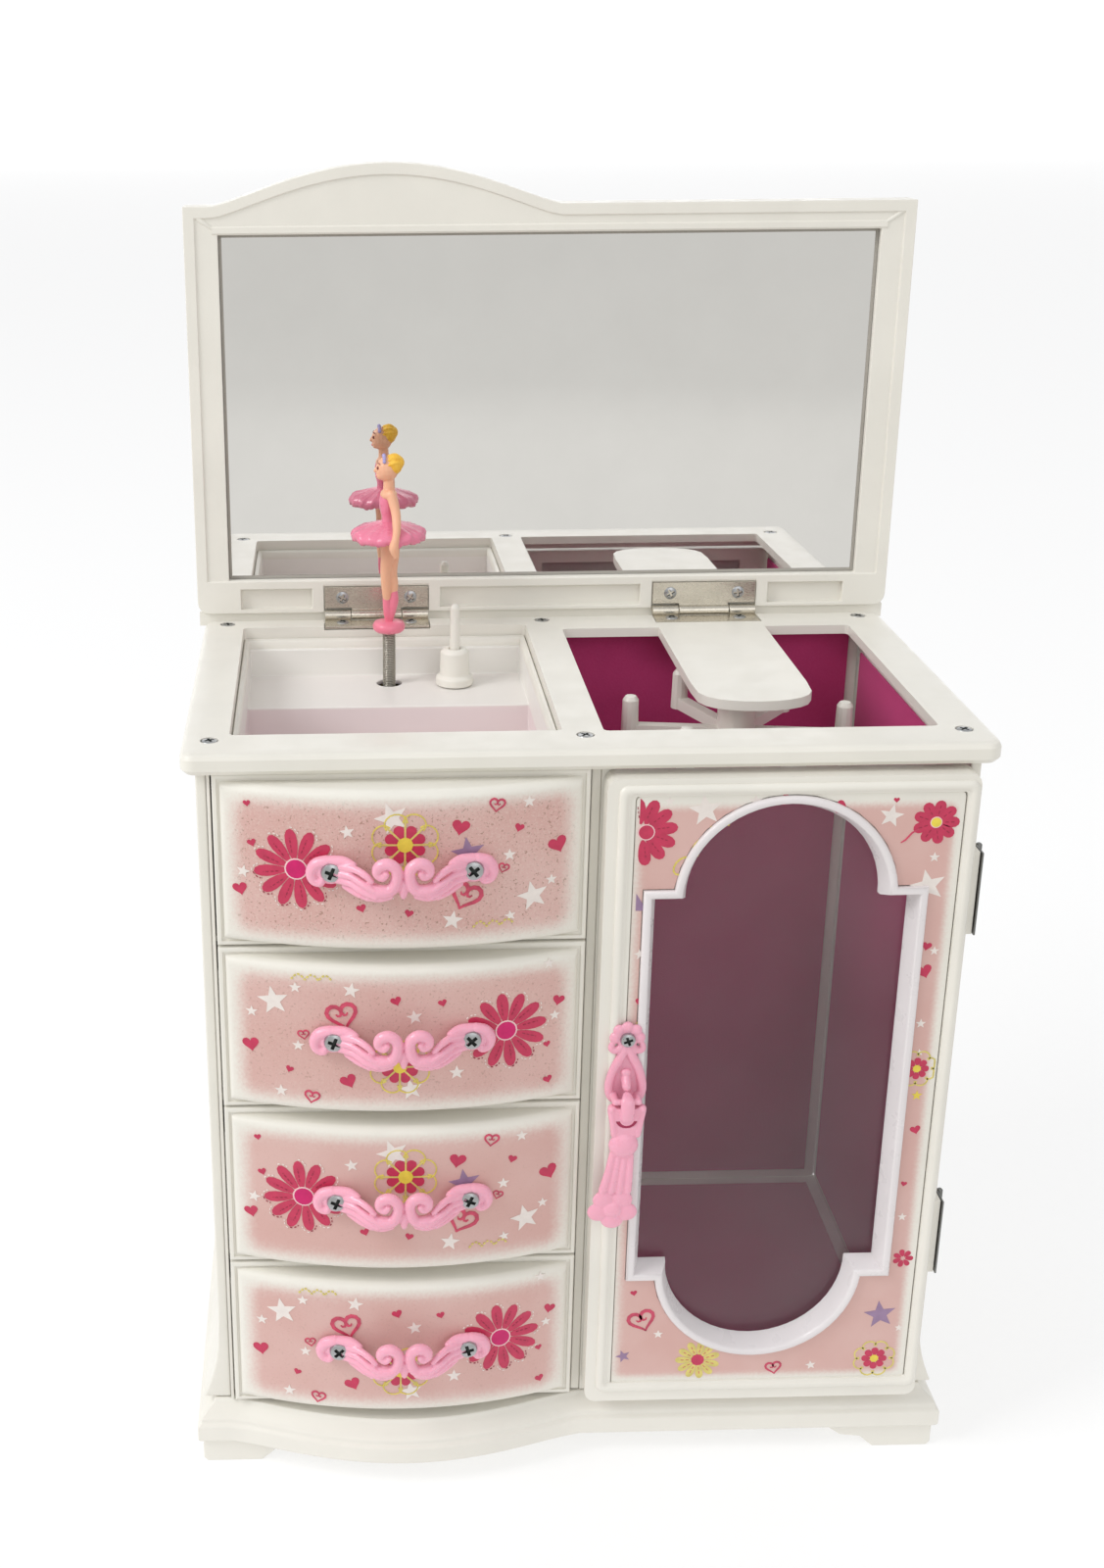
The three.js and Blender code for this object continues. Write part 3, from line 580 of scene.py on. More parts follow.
def silvered():
    """Mirror glass with barely visible wiping marks."""
    tree = Tree("silvered_glass")
    wipes = tree.noise(45, 5, 0.6)
    tree.mottled(wipes, (0.845, 0.838, 0.83), (0.875, 0.868, 0.86))
    tree.rough(wipes, 0.008, 0.03, 0.35, 0.75)
    tree.set(Metallic=1.0)
    return tree.material


def hair():
    """Painted hair: fine combed streaks."""
    tree = Tree("yellow_hair")
    mapping = tree.node("ShaderNodeMapping", inputs={"Vector": tree.position, "Scale": (1, 1, 0.25)})
    streaks = tree.noise(1500, 3, vector=mapping.outputs["Vector"])
    tree.mottled(streaks, (0.84, 0.43, 0.028), (0.95, 0.60, 0.07))
    tree.bump(streaks, 0.4, 0.0002)
    tree.set(Roughness=0.42)
    return tree.material


CREAM = plastic("cream_plastic_moulding", CREAM_TONE, 0.33)
LILAC_WHITE = plastic("white_bead_plastic", (0.765, 0.725, 0.73), 0.30)
TRAY = tray_plastic()
ROSE = plastic("pink_handle_plastic", (0.87, 0.41, 0.53), 0.27, soft=0.25, mottle=0.05, coat=0.15)
# dark pink for the bottom of the tassel's carved slot: painted shade
SLOT_SHADE = plastic("pink_slot_shadow", (0.42, 0.05, 0.12), 0.5)
FELT = felt()
NICKEL = metal("plated_nickel", (0.76, 0.71, 0.61), 0.20, (1, 8, 8))
STEEL = metal("zinc_screw_steel", (0.52, 0.53, 0.54), 0.26)
DARK_STEEL = metal("dark_hinge_steel", (0.26, 0.26, 0.25), 0.32, (8, 8, 1))
SPRING_STEEL = metal("spring_wire_steel", (0.50, 0.47, 0.41), 0.30)
BRASS = metal("movement_brass_sheet", (0.66, 0.50, 0.24), 0.30, (1, 1, 6))
# near-black for the inside of the screws' cross recesses: painted shade
RECESS_SHADE = plastic("screw_recess_shadow", (0.02, 0.024, 0.022), 0.6)
# dark grey for the line round the mirror: painted shade of the gap at its edge
EDGE = plastic("mirror_gap_painted_shade", (0.34, 0.32, 0.28), 0.4)
GLASS = glazing()
MIRROR_GLASS = silvered()
DRAWER_PRINT = printed("drawer_print", drawer_mask)
DOOR_PRINT = printed("door_print", door_mask)
SKIN = plastic("doll_skin", (0.86, 0.47, 0.30), 0.42, soft=0.2, mottle=0.04)
DRESS = plastic("doll_dress_pink", (0.86, 0.235, 0.36), 0.24, mottle=0.10, coat=0.2)
SHOE = plastic("doll_shoe_pink", (0.86, 0.215, 0.31), 0.32, mottle=0.08, coat=0.2)
HAIR = hair()
TIARA = ink("doll_tiara_lilac", (0.42, 0.37, 0.66))
FEATURE = ink("doll_face_paint", (0.22, 0.05, 0.05))
INKS = {
    "crimson": ink("ink_crimson", (0.53, 0.030, 0.090)),
    "magenta": ink("ink_magenta", (0.58, 0.002, 0.13)),
    "dark": ink("ink_dark_red", (0.30, 0.015, 0.05)),
    "brush": ink("ink_brush_red", (0.56, 0.06, 0.12), 0.25),
    "yellow": ink("ink_yellow", (0.66, 0.56, 0.16), 0.15),
    "gold": ink("ink_gold", (0.78, 0.62, 0.07)),
    "white": ink("ink_white", (0.80, 0.735, 0.69), 0.05),
    "pale": ink("ink_pale_pink", (0.84, 0.58, 0.58), 0.05),
    "violet": ink("ink_violet", (0.30, 0.195, 0.32), 0.12),
}
INK_NAMES = list(INKS)


# ---------- printed motifs ----------
class Print:
    """Motifs cut as thin skins that hug a surface; surface(u, v, lift) gives the point."""

    def __init__(self, surface):
        self.surface = surface
        self.shape = Shape()

    def patch(self, outline, centre, colour, lift=0.12):
        """A star-shaped outline about a centre."""
        count = len(outline)
        ring = [self.surface(u, v, lift) for u, v in outline]
        under = [self.surface(u, v, SUNK) for u, v in outline]
        points = [*ring, *under, self.surface(*centre, lift), self.surface(*centre, SUNK)]
        faces = []
        for i in range(count):
            j = (i + 1) % count
            faces += [[i, j, 2 * count], [count + j, count + i, 2 * count + 1]]
            faces.append([i, count + i, count + j, j])
        self.shape.add((points, faces), INK_NAMES.index(colour))

    def stroke(self, points, width, colour, lift=0.2, taper=False):
        """A ribbon along open points."""
        rows = []
        last = len(points) - 1
        for i, (u, v) in enumerate(points):
            ahead = points[min(i + 1, last)]
            behind = points[max(i - 1, 0)]
            du, dv = ahead[0] - behind[0], ahead[1] - behind[1]
            size = math.hypot(du, dv) or 1
            wide = width / 2 * (0.25 + 0.75 * math.sin(math.pi * (i + 0.3) / (last + 0.6)) if taper else 1)
            nu, nv = -dv / size * wide, du / size * wide
            left, right = (u + nu, v + nv), (u - nu, v - nv)
            section = ((left, lift), (right, lift), (right, SUNK), (left, SUNK))
            rows.append([self.surface(*point, height) for point, height in section])
        self.shape.add(loft(rows), INK_NAMES.index(colour))

    def dashes(self, points, width, colour, dash=0.9, gap=0.6, lift=0.22):
        """A stitched line along open points."""
        travelled = 0.0
        for a, b in zip(points, points[1:]):
            length = math.dist(a, b)
            at = -(travelled % (dash + gap))
            while at < length:
                start, end = max(at, 0), min(at + dash, length)
                if end - start > 0.15:
                    ends = [tuple(p + (q - p) * s / length for p, q in zip(a, b)) for s in (start, end)]
                    self.stroke(ends, width, colour, lift)
                at += dash + gap
            travelled += length

    def heart(self, u, v, size, turn=0, colour="crimson"):
        """A filled heart."""
        outline = []
        for i in range(22):
            a, b = heart_point(math.tau * i / 22)
            outline.append(turned_point(u, v, a * size / 32, b * size / 32, turn))
        self.patch(outline, (u, v), colour)

    def brush_heart(self, u, v, size, turn=0):
        """A heart drawn with two brush strokes that curl inward under the lobes."""
        for side in (-1, 1):
            curl = [(side * 6.5, 2.0), (side * 5.0, -0.5), (side * 2.2, -0.5), (side * 0.4, 2.5)]
            points = [turned_point(u, v, a * size / 32, b * size / 32, turn) for a, b in curl]
            for i in range(12):
                t = math.pi * (0.05 + 0.93 * i / 11)
                a, b = heart_point(t)
                points.append(turned_point(u, v, side * a * size / 32, b * size / 32, turn))
            self.stroke(points, size * 0.15, "brush", taper=True)

    def star(self, u, v, radius, turn=0, colour="white"):
        """A five-pointed star."""
        outline = []
        for i in range(10):
            reach = radius if i % 2 == 0 else radius * 0.42
            angle = math.radians(90 + turn + 36 * i)
            outline.append((u + reach * math.cos(angle), v + reach * math.sin(angle)))
        self.patch(outline, (u, v), colour)

    def violet_star(self, u, v, radius, turn=0):
        self.star(u, v, radius, turn, "violet")

    def petal(self, u, v, angle, near, far, half, colour, lift=0.12, only=None):
        """A rounded petal; only(u, v) clamps its points into a window."""
        outline = []
        for i in range(14):
            t = math.tau * i / 14
            along = (near + far) / 2 + (far - near) / 2 * math.cos(t)
            share = (along - near) / (far - near)
            across = half * math.sin(t) * (0.55 + 0.55 * share)
            outline.append(turned_point(u, v, along, across, angle))
        centre = turned_point(u, v, (near + far) / 2, 0, angle)
        if only:
            outline = [only(*p) for p in outline]
            centre = only(*centre)
        self.patch(outline, centre, colour, lift)

    def disc(self, u, v, radius, colour, lift=0.24):
        outline = []
        for i in range(18):
            angle = math.tau * i / 18
            outline.append((u + radius * math.cos(angle), v + radius * math.sin(angle)))
        self.patch(outline, (u, v), colour, lift)

    def daisy(self, u, v, radius, petals=12, turn=8):
        """Big stitched daisy, with a stitched shadow line outside its lower right petals."""
        for i in range(petals):
            angle = turn + 360 * i / petals
            lift = 0.12 + 0.02 * (i % 2)
            self.petal(u, v, angle, radius * 0.2, radius, radius * 0.168, "crimson", lift)
            vein = [turned_point(u, v, radius * s, radius * 0.03, angle) for s in (0.42, 0.60, 0.78)]
            self.dashes(vein, 0.22, "dark", 0.8, 0.5)
            for side, shade, reach in ((-1, "white", 1.05), (1, "dark", 1.02)):
                if side > 0 and not 180 < angle % 360 < 330:
                    continue
                edge = []
                for k in range(5):
                    t = 0.1 + 0.28 * k
                    along = radius * (0.78 + (reach - 0.78) * math.cos(t))
                    edge.append(turned_point(u, v, along, side * radius * 0.2 * math.sin(t), angle))
                self.dashes(edge, 0.24, shade, 0.7, 0.5)
        self.disc(u, v, radius * 0.27, "pale")
        self.disc(u, v, radius * 0.235, "magenta", 0.3)

    def wheel(self, u, v, radius):
        """Stitched wheel flower: looped rim, spokes, and red wedges round a gold centre."""
        for i in range(8):
            angle = 22 + 45 * i
            loop = []
            for k in range(10):
                t = -1.9 + 3.8 * k / 9
                along = radius * (0.70 + 0.30 * math.cos(t))
                loop.append(turned_point(u, v, along, radius * 0.34 * math.sin(t), angle))
            self.stroke(loop, 0.42, "yellow", 0.14)
            self.dashes(loop, 0.2, "gold", 0.5, 0.4, 0.2)
            self.petal(u, v, angle, radius * 0.2, radius * 0.62, radius * 0.185, "crimson", 0.16)
            spoke = [turned_point(u, v, radius * s, 0, angle + 22.5) for s in (0.15, 0.45, 0.78)]
            self.stroke(spoke, 0.5, "yellow", 0.2)
        self.disc(u, v, radius * 0.23, "gold", 0.26)

    def scallop(self, u, v, width):
        """A short stitched wave."""
        points = []
        for i in range(19):
            points.append((u + width * (i / 18 - 0.5), v + 1.6 * abs(math.sin(math.pi * 3 * i / 18))))
        self.dashes(points, 0.5, "yellow", 0.7, 0.45)

    def finish(self, name, body, slot):
        return piece(name, mesh_of(name, self.shape), INKS.values(), body)


def heart_point(t):
    """A point of a heart 32 wide, by its parameter."""
    a = 16 * math.sin(t) ** 3
    b = 13 * math.cos(t) - 5 * math.cos(2 * t) - 2 * math.cos(3 * t) - math.cos(4 * t)
    return a, b


def turned_point(u, v, a, b, angle):
    """(a, b) turned by an angle in degrees, about (u, v)."""
    c, s = math.cos(math.radians(angle)), math.sin(math.radians(angle))
    return u + a * c - b * s, v + a * s + b * c


# ---------- drawer fronts ----------
def face_y(x):
    """Depth of the bowed face at x."""
    t = (2 * x - FACE["left"] - FACE["right"]) / (FACE["right"] - FACE["left"])
    return FACE["ends"] - FACE["bulge"] * (1 - min(1, t * t))


def quarter(distance, radius):
    """How far back a rounded edge lies at a distance in from it."""
    if distance >= radius:
        return 0.0
    return radius * (1 - math.sqrt(1 - (1 - distance / radius) ** 2))


def front_depth(x, z, low, high):
    """Depth of the drawer front's skin: thin rim, groove, then the bowed panel with soft edges."""
    across = min(x - FACE["left"], FACE["right"] - x)
    up = min(z - low, high - z)
    edge = min(across, up)
    if edge < FRONT_RIM["width"]:
        return FRONT_RIM["face"] + quarter(edge, 0.5)
    end = FRONT_RIM["groove_end"]
    if edge < end:
        return FRONT_RIM["groove"]
    back = max(quarter(up - end, 2.6), quarter(across - end, 1.3))
    return min(FRONT_RIM["groove"], face_y(x) + back)


def spread(low, high, count):
    """Grid lines from low to high: the steps of the rim at both ends, and even steps between."""
    last = EDGE_STEPS[-1]
    inner = [low + last + (high - low - 2 * last) * i / count for i in range(1, count)]
    return [low + d for d in EDGE_STEPS] + inner + [high - d for d in reversed(EDGE_STEPS)]


def ramp(value, low, high):
    """Nought at low, one at high, straight between and level beyond."""
    return min(1.0, max(0.0, (value - low) / (high - low)))


def eased(value, low, high):
    """The same with soft ends."""
    t = ramp(value, low, high)
    return t * t * (3 - 2 * t)


def drawer_front(name, node, low, high, speckle):
    """Moulded front with its printed panel, as one closed skin."""
    columns = spread(FACE["left"], FACE["right"], 44)
    rows = spread(low, high, 14)
    width = len(columns)
    points = [(x, front_depth(x, z, low, high), z) for z in rows for x in columns]
    faces = []
    for r in range(len(rows) - 1):
        for c in range(width - 1):
            a = r * width + c
            faces.append([a, a + 1, a + 1 + width, a + width])
    rim = list(range(width))
    rim += [r * width + width - 1 for r in range(1, len(rows))]
    rim += [(len(rows) - 1) * width + c for c in range(width - 2, -1, -1)]
    rim += [r * width for r in range(len(rows) - 2, 0, -1)]
    first = len(points)
    points += [(points[i][0], FACE["back"], points[i][2]) for i in rim]
    count = len(rim)
    for k in range(count):
        j = (k + 1) % count
        faces.append([rim[k], first + k, first + j, rim[j]])
    faces.append([first + k for k in range(count)])
    shape = Shape().add((points, faces))
    mesh = mesh_of(name, shape)
    smooth(mesh, 46)
    marks = {"print": [], "speckle": []}
    for x, y, z in points:
        across = ramp(x, FACE["left"] + 2.4, FACE["left"] + 9) * ramp(FACE["right"] - x, 2.0, 8.6)
        up = ramp(z, low + 2.6, low + 9) * ramp(high - z, 3.0, 8.6)
        marks["print"].append(across * up if y < 3.3 else 0.0)
        marks["speckle"].append(speckle)
    for key, values in marks.items():
        mesh.attributes.new(key, "FLOAT", "POINT").data.foreach_set("value", values)
    piece(name, mesh, [DRAWER_PRINT], body_of(node), [node])


DESIGN_A = {
    "daisy": [(-28, 0.5, 11.3)],
    "wheel": [(0.5, 8, 9)],
    "heart": [
        (-40.5, 18, 2, 10), (-39.5, 7, 2.4, 20), (-43, -6.5, 4, 15), (-11, -10, 2.6, 20),
        (1.5, -11.5, 2.4, -15), (15, 12.5, 4.8, -12), (30.5, 11, 2.6, -20), (41, 5, 5.2, 20),
    ],
    "brush": [(24.5, 18, 4, -10), (26.5, 0, 2.8, -20), (16.5, -7, 8, -25)],
    "star": [
        (34.5, -9, 4.4, 12), (13, -14, 2.9, -10), (-3, 15.5, 4.6, 20), (28, 3.5, 1.8, 0),
        (28.5, -14, 1.6, 10), (39.5, -5, 1.6, 0), (-14.5, 11.5, 2, 10), (-42, -1.5, 1.9, -12),
        (33, 18, 1.8, 0), (-3.5, -6, 1.8, 0),
    ],
    "violet": [(17, 5, 4.6, 8)],
    "scallop": [(24, -16.5, 11)],
}
DESIGN_B = {
    "daisy": [(28, 1.5, 11.3)],
    "wheel": [(-1, -7.5, 8.4)],
    "heart": [
        (-41.5, -3, 4.6, 10), (-31, -9.5, 2.2, -20), (-15, -12, 4.6, 25), (-2, 12.5, 3, 20),
        (10.5, 11.5, 2.4, 15), (42.5, 8.5, 3.4, -15), (39.5, -4.5, 2, 10), (40, -15.5, 2.6, 15),
    ],
    "brush": [(-16.5, 8, 8, 15), (-27, 1.5, 3, 10), (-25, -17.5, 4, -10)],
    "star": [
        (-35, 11, 4.4, 10), (-14, 15.5, 2.4, -10), (-29, 15.5, 1.7, 0), (-41, 7, 1.7, 0),
        (-28.5, -2, 1.7, 0), (3, 7.5, 2.2, 10), (14.5, -10, 2.2, 0), (-33.5, -16.5, 1.9, 0),
        (39.5, 20, 1.6, 0), (41.5, 4, 1.6, 0), (2, -14.5, 3.4, 10),
    ],
    "violet": [],
    "scallop": [(-24.5, 18, 11)],
}


def drawer_motifs(name, body, design, low, high):
    """One drawer front's printed motifs, measured from its middle."""
    centre = (low + high) / 2
    print_on = Print(lambda u, v, lift: (u + PRINT_X, face_y(u + PRINT_X) - lift, v + centre))
    for kind, draw in (
        ("star", print_on.star),
        ("violet", print_on.violet_star),
        ("wheel", print_on.wheel),
        ("daisy", print_on.daisy),
        ("heart", print_on.heart),
        ("brush", print_on.brush_heart),
        ("scallop", print_on.scallop),
    ):
        for motif in design[kind]:
            draw(*motif)
    print_on.finish(name, body, "printed_panel")


# ---------- handles and screws ----------
def screw_mesh(radius=2.75, rise=1.1):
    """A pan head with a cross recess, facing -Y from its own zero."""
    profile = [(0, 0.9), (radius, 0.9), (radius, 0.1), (radius * 0.9, -rise * 0.55)]
    profile += [(radius * 0.6, -rise * 0.9), (0, -rise)]
    mesh = mesh_of("screw_head", Shape().add(turned(profile, (0, CENTRE_Y, 0), 28, "y")))
    for angle in (38, 128):
        c, s = math.cos(math.radians(angle)), math.sin(math.radians(angle))
        rows = []
        for depth, long, wide in ((-rise - 0.6, 0.70, 0.22), (-rise * 0.2, 0.56, 0.13)):
            corners = [(-long, -wide), (long, -wide), (long, wide), (-long, wide)]
            turned_corners = [((a * c - b * s) * radius, (a * s + b * c) * radius) for a, b in corners]
            rows.append([(px, CENTRE_Y + depth, pz) for px, pz in turned_corners])
        mesh = carved(mesh, Shape().add(loft(rows)))
    smooth(mesh, 30)
    mesh.materials.clear()
    mesh.materials.append(STEEL)
    mesh.materials.append(RECESS_SHADE)
    # faces inside the cross recess take the near-black material: painted shade
    for polygon in mesh.polygons:
        deep = polygon.center.y > -rise * 0.75 * MM and polygon.center.y < 0
        flat = math.hypot(polygon.center.x, polygon.center.z) < radius * 0.7 * MM
        polygon.material_index = 1 if deep and flat else 0
    return mesh


def put_screw(name, mesh, at, body, tip=(0, 0, 0), nodes=()):
    """One screw, tipped from facing the front."""
    piece(name, mesh, [], body, nodes, at, tip)


def handle_mesh():
    """Scroll handle: two scrolls meeting in the middle, feathered leaves and end pads."""
    shape = Shape()

    def depth(u):
        return 1.5 + 5.4 * (1 - eased(abs(u), 5.5, 16.5))

    def leaf(*points):
        """A tapered stroke on both halves; points are (out, up, radius, lift)."""
        for side in (-1, 1):
            path = []
            for u, w, r, lift in points:
                y = face_y(HANDLE_X + side * u) - 0.3 - depth(u) - lift
                path.append((HANDLE_X + side * -u, y, w + 0.36 * (depth(u) - 1.5), r))
            shape.add(tube(path, 12, 5))

    leaf(
        (-13.5, -1.4, 1.7, 0), (-9.6, -3.6, 1.9, 0), (-6.2, -5.0, 1.9, 0), (-3.2, -4.4, 1.75, 0.2),
        (-1.75, -1.6, 1.6, 0.4), (-1.85, 1.3, 1.6, 0.5), (-3.9, 2.9, 1.6, 0.5), (-6.2, 2.1, 1.55, 0.4),
        (-6.7, 0.2, 1.35, 0.3), (-5.4, -0.8, 1.2, 0.5), (-4.5, 0.2, 0.95, 1.0),
    )
    leaf((-18.5, 2.9, 1.6, 0), (-15.2, 3.0, 1.45, 0.3), (-12.8, 2.1, 1.1, 0.5))
    leaf((-16, 1.6, 1.5, 0.4), (-12.6, 1.6, 1.05, 1.5), (-9.9, 0.2, 0.95, 1.6), (-8.2, -1.8, 0.8, 1.0))
    leaf((-17, -0.2, 1.4, 0.4), (-13.4, -0.4, 0.95, 1.9), (-10.0, -2.5, 0.95, 1.9), (-7.4, -4.4, 0.8, 1.3))
    leaf((-17, -1.8, 1.4, 0.4), (-13.6, -2.5, 0.95, 1.6), (-10.4, -4.5, 0.95, 1.6), (-7.2, -6.2, 0.85, 1.0))
    leaf((-14.8, -3.7, 1.2, 0), (-11.8, -5.5, 1.2, 0.2), (-9.0, -6.9, 1.0, 0))
    leaf((-8.8, -6.6, 1.1, 0), (-6.2, -6.8, 1.15, 0), (-3.6, -6.2, 1.1, 0))
    leaf(
        (-19.5, 2.8, 1.7, 0), (-22.4, 1.9, 1.7, 0), (-23.7, -0.4, 1.6, 0), (-23.1, -2.6, 1.45, 0),
        (-21.5, -3.2, 1.2, 0.3), (-20.8, -2.2, 1.0, 0.6),
    )
    for side in (-1, 1):
        x = HANDLE_X + side * SCREW_OFFSET
        shape.add(ball((x, face_y(x) - 1.3, 0.2), (4.4, 2.0, 4.0)))
    shape.add(ball((HANDLE_X, face_y(HANDLE_X) - 7.4, -2.4), (1.2, 1.2, 2.8)))
    return melted(shape, 0.2, 1)


def handles():
    """The four scroll handles, each with its two screws."""
    mesh = handle_mesh()
    mesh.name = "scroll_handle"
    mesh.materials.clear()
    mesh.materials.append(ROSE)
    screw = screw_mesh()
    for number, body, node in (
        (1, "cabinet", "fascia_handle"),
        (2, "drawer_2", "drawer_handle_2"),
        (3, "drawer_3", "drawer_handle_3"),
        (4, "drawer_4", "drawer_handle_4"),
    ):
        height = (LEVELS[4 - number] + LEVELS[5 - number]) / 2 + HANDLE_RISE
        piece(f"scroll_handle_{number}", mesh, [], body, [node], (0, 0, height * MM))
        for side, word in ((-1, "left"), (1, "right")):
            x = HANDLE_X + side * SCREW_OFFSET
            at = place(x, face_y(x) - 3.2, height + 0.2)
            turn = random.uniform(-0.6, 0.6)
            put_screw(f"handle_screw_{number}_{word}", screw, at, body, (0, turn, 0))


# ---------- lid ----------
def lid_at(x, y, z):
    """A point of the upright lid, in millimetres from the hinge line, in deck millimetres."""
    lean = math.radians(LID["lean"])
    return (
        x,
        LID["y"] + y * math.cos(lean) + z * math.sin(lean),
        LID["z"] - y * math.sin(lean) + z * math.cos(lean),
    )


def crest(x, inset=0.0):
    """Height of the lid's top edge at x."""
    t = (2 * x - BOW["left"] - BOW["right"]) / (BOW["right"] - BOW["left"])
    rise = LID["arch"] * (1 - t * t) ** 1.3 if abs(t) < 1 else 0
    return LID["height"] + rise - inset


def lid_outline(inset):
    """The lid's inner panel outline: square foot and arched top."""
    half = LID["half"] - inset
    foot = MIRROR["low"] - 0.6
    xs = [-half + 2 * half * i / 60 for i in range(61)]
    return [(-half, foot), (half, foot)] + [(x, crest(x, inset)) for x in reversed(xs)]


def lid():
    """The lid's panel, the trim round its mirror, and the strip below its edge."""
    sunk = Shape()
    outline = lid_outline(3.4)
    sunk.add(loft([[lid_at(x, y, z) for x, z in outline] for y in (-2, LID["face"] + 0.55)]))
    refined("lid_frame", CREAM, 0.6, 4, sunk)

    trim = Shape()
    front, back = LID["face"] + 0.15, LID["face"] + 1.3
    top = MIRROR["high"] + 0.35
    side = MIRROR["half"] + 0.35
    for low, high in ((top, top + 2.6), (8.9, MIRROR["low"] - 0.35)):
        section = [(front + 0.5, low), (front, low + 0.5), (front, high - 0.5), (front + 0.5, high)]
        section += [(back, high), (back, low)]
        trim.add(loft([[lid_at(x, y, z) for y, z in section] for x in (-side - 1.6, side + 1.6)]))
    for flip in (-1, 1):
        start = (flip * 107, 123.2)
        end = (flip * 101.4, 119.2)
        middle = ((start[0] + end[0]) / 2, (start[1] + end[1]) / 2)
        joint = ((start, 0.7), (middle, 0.9), (end, 0.7))
        trim.add(sweep([(*lid_at(x, LID["face"] + 0.95, z), r) for (x, z), r in joint], 10))
    skirt = [lid_at(x, 2.0, z) for x, z in ((-109.4, -3.4), (109.4, -3.4), (109.4, 0.9), (-109.4, 0.9))]
    trim.add(loft([[(x, y + back, z) for x, y, z in skirt] for back in (0, 1.6)]))
    shown("lid_ledges", trim, CREAM, "lid", 40)
    mirror_border()


def mirror_border():
    """A dark line round the mirror: painted shade of the gap at its edge."""

    border = Shape()
    low, high, half = MIRROR["low"], MIRROR["high"], MIRROR["half"]
    rings = []
    for x, z in ((-half, low), (half, low), (half, high), (-half, high)):
        sx, sz = (1 if x < 0 else -1), (1 if z == low else -1)
        section = ((-0.15, 3.2), (0.45, 3.75), (0.6, 4.05), (-0.15, 4.05))
        rings.append([lid_at(x + sx * inward, y, z + sz * inward) for inward, y in section])
    border.add(looped(rings))
    piece("mirror_gap_shade_line", mesh_of("mirror_gap_shade_line", border), [EDGE], "lid")


def lid_hinges():
    """The lid's hinge leaves and their screws, on the lid and on the deck."""
    screw = screw_mesh(2.15, 0.8)
    for word in ("left", "right"):
        refined(f"lid_hinge_{word}_deck_leaf", NICKEL, 0.14, 2)
        refined(f"lid_hinge_{word}_lid_leaf", NICKEL, 0.14, 2)
        for number, offset in enumerate(HINGE["screws"]):
            x = HINGE[word] + offset
            at = place(*lid_at(x, 0.55, 5.6))
            tip = (0, random.uniform(-0.6, 0.6), 0)
            put_screw(f"lid_hinge_{word}_screw_{number + 1}", screw, at, "lid", tip)
            down = place(x, LID["y"] - 4.4, DECK_SCREW_Z)
            flat = (-math.pi / 2, 0, 0.4 * number)
            put_screw(f"deck_hinge_{word}_screw_{number + 1}", screw, down, "cabinet", flat)


# ---------- door ----------
def window_outline(grow):
    """The door window's outline, with equal points for any growth."""
    half = WINDOW["half"] + grow
    radius = WINDOW["arc"] + grow
    start = math.degrees(math.asin(max(-1, min(1, grow / radius))))
    points = []
    for flip, centre, other, base in ((1, "high", "low", 0), (-1, "low", "high", 180)):
        x = WINDOW["x"] + flip * half
        points += [(x, WINDOW[other] - flip * grow), (x, WINDOW[centre] + flip * grow)]
        for i in range(ARCH_STEPS + 1):
            angle = math.radians(base + start + (180 - 2 * start) * i / ARCH_STEPS)
            reach = (radius * math.cos(angle), radius * math.sin(angle))
            points.append((WINDOW["x"] + reach[0], WINDOW[centre] + reach[1]))
    return points


def rectangle_ring(inset, radius=2.6, steps=6):
    """The door moulding's outline moved in, with rounded corners."""
    left, right = MOULDING["left"] + inset, MOULDING["right"] - inset
    low, high = MOULDING["low"] + inset, MOULDING["high"] - inset
    corner = max(0.3, radius - inset * 0.5)
    points = []
    for x, z, start in (
        (right - corner, high - corner, 0),
        (left + corner, high - corner, 90),
        (left + corner, low + corner, 180),
        (right - corner, low + corner, 270),
    ):
        for i in range(steps + 1):
            angle = math.radians(start + 90 * i / steps)
            points.append((x + corner * math.cos(angle), z + corner * math.sin(angle)))
    return points


def banded(outline_of, section):
    """A moulding whose section, (inset, y) pairs, runs round an outline."""
    rings = [[(x, y, z) for x, z in outline_of(inset)] for inset, y in section]
    turned_rings = [[ring[i] for ring in rings] for i in range(len(rings[0]))]
    return looped(turned_rings)


def door():
    """The door's frame with its raised border, the window bead and the printed sheet."""
    opening = Shape().add(loft([[(x, y, z) for x, z in window_outline(BEAD_INNER)] for y in (-9, 3.0)]))
    refined("door_frame", CREAM, 0.5, 3, opening)
    moulding = Shape()
    front = DOOR_FRONT
    section = [
        (0.0, front + 0.4), (0.1, front - 0.35), (0.7, front - 0.85), (1.5, front - 1.0),
        (2.2, front - 0.8), (2.5, front - 0.35), (3.1, front - 0.2), (3.2, front + 0.4),
    ]
    moulding.add(banded(rectangle_ring, section))
    shown("door_moulding", moulding, CREAM, "door")

    section = [
        (-0.6, 3.0), (-0.4, 1.0), (BEAD_INNER, -2.7), (BEAD_INNER + 0.2, -3.2), (BEAD_INNER + 0.6, -3.5),
        (BEAD_OUTER - 0.7, -3.5), (BEAD_OUTER - 0.2, -3.2), (BEAD_OUTER, -2.7), (BEAD_OUTER, -1.9),
    ]
    bead = Shape().add(banded(window_outline, section))
    shown("window_bead", bead, LILAC_WHITE, "door")
    refined("door_print_sheet", DOOR_PRINT, 0.08, 1)


